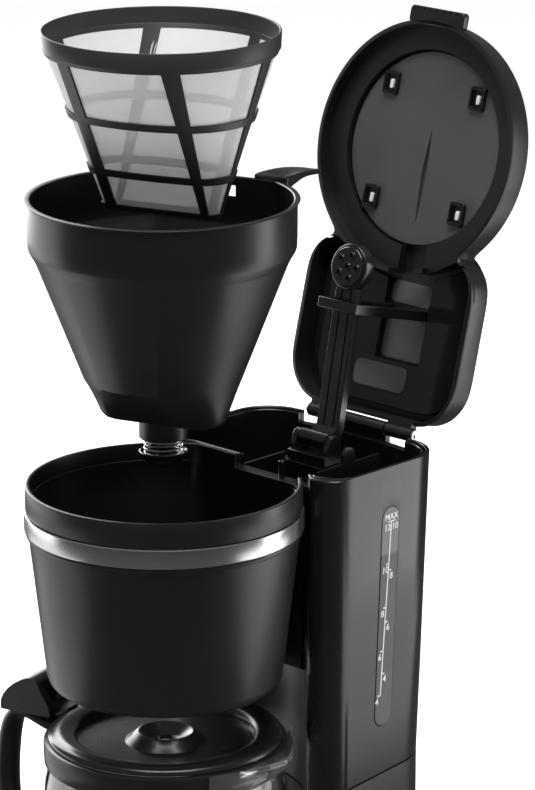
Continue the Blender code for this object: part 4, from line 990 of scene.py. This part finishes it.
# ---- base ----
def build_base():
    levels = [(1.4, 5.0), (0.5, 5.5), (0.0, 6.8), (0.0, DECK - 3.2), (0.3, DECK - 1.9), (1.0, DECK - 0.8),
              (2.0, DECK - 0.2), (3.4, DECK)]
    base = skin("base_shell", [at(base_shape(i), z) for i, z in levels])
    inner = prism("inner", base_shape(2.6), 4.0, DECK - 2.6)
    tall = skin("tall", [at(column_shape(0, 0, ARC), DECK - 6), seam_ring(0, -0.6), seam_ring(0.4, -0.2)])
    inner_tall = prism("inner_tall", column_shape(0, 2.6, ARC), DECK - 6, FLOOR_Z)
    seat = prism("seat", column_shape(0, 2.6, ARC), FLOOR_Z + 2.6, RIM)
    fuse(base, tall)
    z = CONTROL_Z
    holes = [prism("deck_hole", circle(57.0, sides=ROUND), DECK - 6, DECK + 3),
             rod("button_hole", 9.4, (0, -90, z), (0, -70, z)),
             rod("lens_hole", 2.4, (16, -90, z), (16, -65, z)),
             rod("gland_hole", 6.4, (-42, 140, 22), (-42, 170, 22))]
    cut(base, inner, inner_tall, seat, *holes)
    place(base, SATIN, "machine", ["base_housing"], bevel=0.25)
    top = PLATE
    profile = [(0, top - 1), (56.4, top - 1), (57.6, top - 0.8), (59.6, top - 0.1), (61, top),
               (62.8, top - 0.1), (64.3, top - 0.9), (65, top - 2.2), (65, top - 5), (63.4, top - 5),
               (63.4, top - 2.6), (0, top - 2.6)]
    plate = turned("hot_plate", profile, sides=ROUND)
    place(plate, COATED, "machine", ["warming_plate"])
    profile = [(7.2, 0), (9.0, 0), (9.0, 3.4), (10.4, 3.4), (10.6, 3.7), (10.4, 4.4), (9.8, 4.6),
               (7.6, 4.6), (7.2, 4.2)]
    bezel = along(turned("button_ring", profile), (0, -77.2, z), (0, -1, 0))
    place(bezel, CHROME, "machine", ["button_bezel"])
    profile = [(0, 0), (6.8, 0), (6.8, 9.0), (6.4, 9.5), (5.4, 9.7), (3.0, 9.4), (0, 9.3)]
    cap = along(turned("button_cap", profile), (0, -74.0, z), (0, -1, 0))
    place(cap, SATIN, "button", ["power_button"])


def dress_frame(frame):
    """Finishes and softened edges for the CAD pieces that are shown as they are."""
    metal = (STEEL, "steel")
    plain = (NATURAL, "natural_plastic")
    rubber = (RUBBER, "rubber_black")
    looks = {"bottom_cover": (MATTE, "matte_black"), "plate_seal": (RED, "silicone_red"),
             "indicator_lens": (LENS, "lens_red"), "heating_element": metal, "thermostat": metal,
             "thermal_fuse": (CERAMIC, "ceramic"), "check_valve": plain, "cold_water_tube": plain,
             "hot_water_tube": plain, "riser_tube": (SHEEN, "satin_black"),
             "switch_body": (MATTE, "matte_black"), "cord_gland": rubber, "clamp_screw": metal}
    for k in range(1, 5):
        looks[f"foot_{k}"] = rubber
        looks[f"bottom_screw_{k}"] = metal
    for node, (material, slot) in looks.items():
        obj = frame["nodes"][node]
        obj.data.materials.clear()
        obj.data.materials.append(material)
        soften(obj, 0.2)


# ---- stage ----
def softbox(name, where, target, wide, tall, power):
    data = bpy.data.lights.new(name, "AREA")
    data.shape = "RECTANGLE"
    data.size = wide
    data.size_y = tall
    data.energy = power
    obj = bpy.data.objects.new(name, data)
    bpy.context.collection.objects.link(obj)
    obj.location = where
    obj.rotation_euler = (Vector(target) - Vector(where)).to_track_quat("-Z", "Y").to_euler()
    obj.visible_camera = False


def stage_floor():
    """Pale floor: even white in view, darker in the gloss of the object so that black stays black."""
    material = finish("floor", (0.8, 0.8, 0.8), 0.7, bump=0.0, tint=0.01, Specular_IOR_Level=0.0)
    tree = material.node_tree
    link = tree.links.new
    path = add_node(tree, "ShaderNodeLightPath")
    glow = add_node(tree, "ShaderNodeEmission", Strength=0.75)
    shade = add_node(tree, "ShaderNodeBsdfDiffuse", Color=(0.1, 0.1, 0.1, 1))
    dull = add_node(tree, "ShaderNodeMixShader")
    link(path.outputs["Is Glossy Ray"], dull.inputs["Fac"])
    link(tree.nodes["Principled BSDF"].outputs[0], dull.inputs[1])
    link(shade.outputs[0], dull.inputs[2])
    total = add_node(tree, "ShaderNodeAddShader")
    link(dull.outputs[0], total.inputs[0])
    link(glow.outputs[0], total.inputs[1])
    seen = add_node(tree, "ShaderNodeMixShader")
    link(path.outputs["Is Camera Ray"], seen.inputs["Fac"])
    link(dull.outputs[0], seen.inputs[1])
    link(total.outputs[0], seen.inputs[2])
    link(seen.outputs[0], tree.nodes["Material Output"].inputs["Surface"])
    return material


def build_stage():
    floor = solid("floor", [(-30, -30, 0), (30, -30, 0), (30, 30, 0), (-30, 30, 0)], [(0, 1, 2, 3)])
    floor.data.materials.append(stage_floor())
    world = bpy.data.worlds.new("studio")
    bpy.context.scene.world = world
    world.use_nodes = True
    tree = world.node_tree
    back = tree.nodes["Background"]
    back.inputs["Color"].default_value = (1, 1, 1, 1)
    path = add_node(tree, "ShaderNodeLightPath")
    level = add_node(tree, "ShaderNodeMapRange", To_Min=WORLD_LIGHT, To_Max=1.0)
    tree.links.new(path.outputs["Is Camera Ray"], level.inputs["Value"])
    tree.links.new(level.outputs["Result"], back.inputs["Strength"])
    target = (0.0, 0.0, 0.3)
    softbox("left_card", (-0.9, -0.35, 0.17), (0, 0, 0.17), 0.8, 0.32, 1.6)
    softbox("left_low_card", (-0.5, -0.3, 0.012), (-0.5, -0.3, 1.0), 0.62, 0.62, 1.2)
    softbox("left_rear_box", (-1.5, 0.5, 0.7), target, 1.0, 1.6, 30)
    softbox("right_card", (0.655, 0.696, 0.3), (0, 0.02, 0.3), 0.3, 0.58, 2.3)
    softbox("right_low_card", (0.5, 0.42, 0.012), (0.5, 0.42, 1.0), 0.5, 0.6, 1.9)
    softbox("top_box", (0.3, -0.3, 2.3), target, 1.4, 1.4, 42)
    scene = bpy.context.scene
    scene.view_settings.view_transform = "Standard"
    camera = bpy.data.objects.new("camera", bpy.data.cameras.new("camera"))
    bpy.context.collection.objects.link(camera)
    camera.location = CAMERA_AT
    camera.rotation_euler = (radians(CAMERA_TILT), 0, radians(CAMERA_TURN))
    camera.data.lens = LENS_MM
    camera.data.sensor_width = 36
    camera.data.sensor_fit = "HORIZONTAL"
    scene.camera = camera


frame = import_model()

SATIN = finish("satin_black_plastic", (0.012, 0.012, 0.0125), 0.34)
GLOSS = finish("gloss_black_plastic", (0.008, 0.008, 0.009), 0.09, 0.03, bump=0.02)
SHEEN = finish("semi_gloss_plastic", (0.011, 0.011, 0.012), 0.2, 0.05, bump=0.04)
COLUMN = finish("column_black_plastic", (0.011, 0.011, 0.012), 0.26, 0.04, bump=0.03)
MATTE = finish("matte_black_plastic", (0.02, 0.02, 0.02), 0.6, bump=0.2)
CAP = finish("lid_black_plastic", (0.012, 0.012, 0.013), 0.24, 0.06, bump=0.05)
DISC = finish("lid_disc_grey", (0.08, 0.08, 0.082), 0.4, 0.05, bump=0.04)
PANEL = finish("lid_panel_grey", (0.05, 0.05, 0.052), 0.3, 0.05, bump=0.03)
RIBBED = finish("filter_rib_grey", (0.035, 0.035, 0.036), 0.42, bump=0.1)
GAUZE = woven("filter_gauze", (0.84, 0.84, 0.84))
CHROME = finish("brushed_metal", (0.62, 0.62, 0.63), 0.24, 0.04, 1.0, grain=60.0, bump=0.03,
                stretch=(1, 1, 60), tint=0.05)
STEEL = finish("steel", (0.6, 0.6, 0.61), 0.28, 0.06, 1.0, bump=0.05)
COATED = finish("plate_coating", (0.03, 0.03, 0.032), 0.35, 0.08, 0.2, bump=0.15)
RUBBER = finish("rubber", (0.02, 0.02, 0.02), 0.75, bump=0.3)
RED = finish("silicone", (0.3, 0.04, 0.03), 0.5, bump=0.1)
NATURAL = finish("natural_plastic", (0.62, 0.61, 0.57), 0.45, bump=0.1)
CERAMIC = finish("ceramic", (0.7, 0.68, 0.6), 0.6, bump=0.2)
WHITE = finish("print_white", (0.85, 0.85, 0.85), 0.5, bump=0.05, tint=0.03)
LENS = finish("lens_red", (0.5, 0.03, 0.02), 0.15, 0.04, bump=0.02, Transmission_Weight=0.6)
GLASS = finish("clear_glass", (0.97, 0.98, 0.98), 0.03, 0.01, bump=0.005, tint=0.005,
               Transmission_Weight=1.0, IOR=1.47)
CLEAR = finish("clear_plastic", (0.95, 0.96, 0.96), 0.06, 0.02, bump=0.02, tint=0.01,
               Transmission_Weight=0.96, IOR=1.49)
SMOKE = banded("gauge_window", (0.05, 0.05, 0.052), (0.17, 0.17, 0.174), (RIM - 52) * M)

build_housing()
build_column()
build_gauge_marks()
build_tank()
build_lid()
build_hinges()
build_arm()
build_basket()
build_valve()
build_filter()
build_carafe()
build_base()
dress_frame(frame)
build_stage()
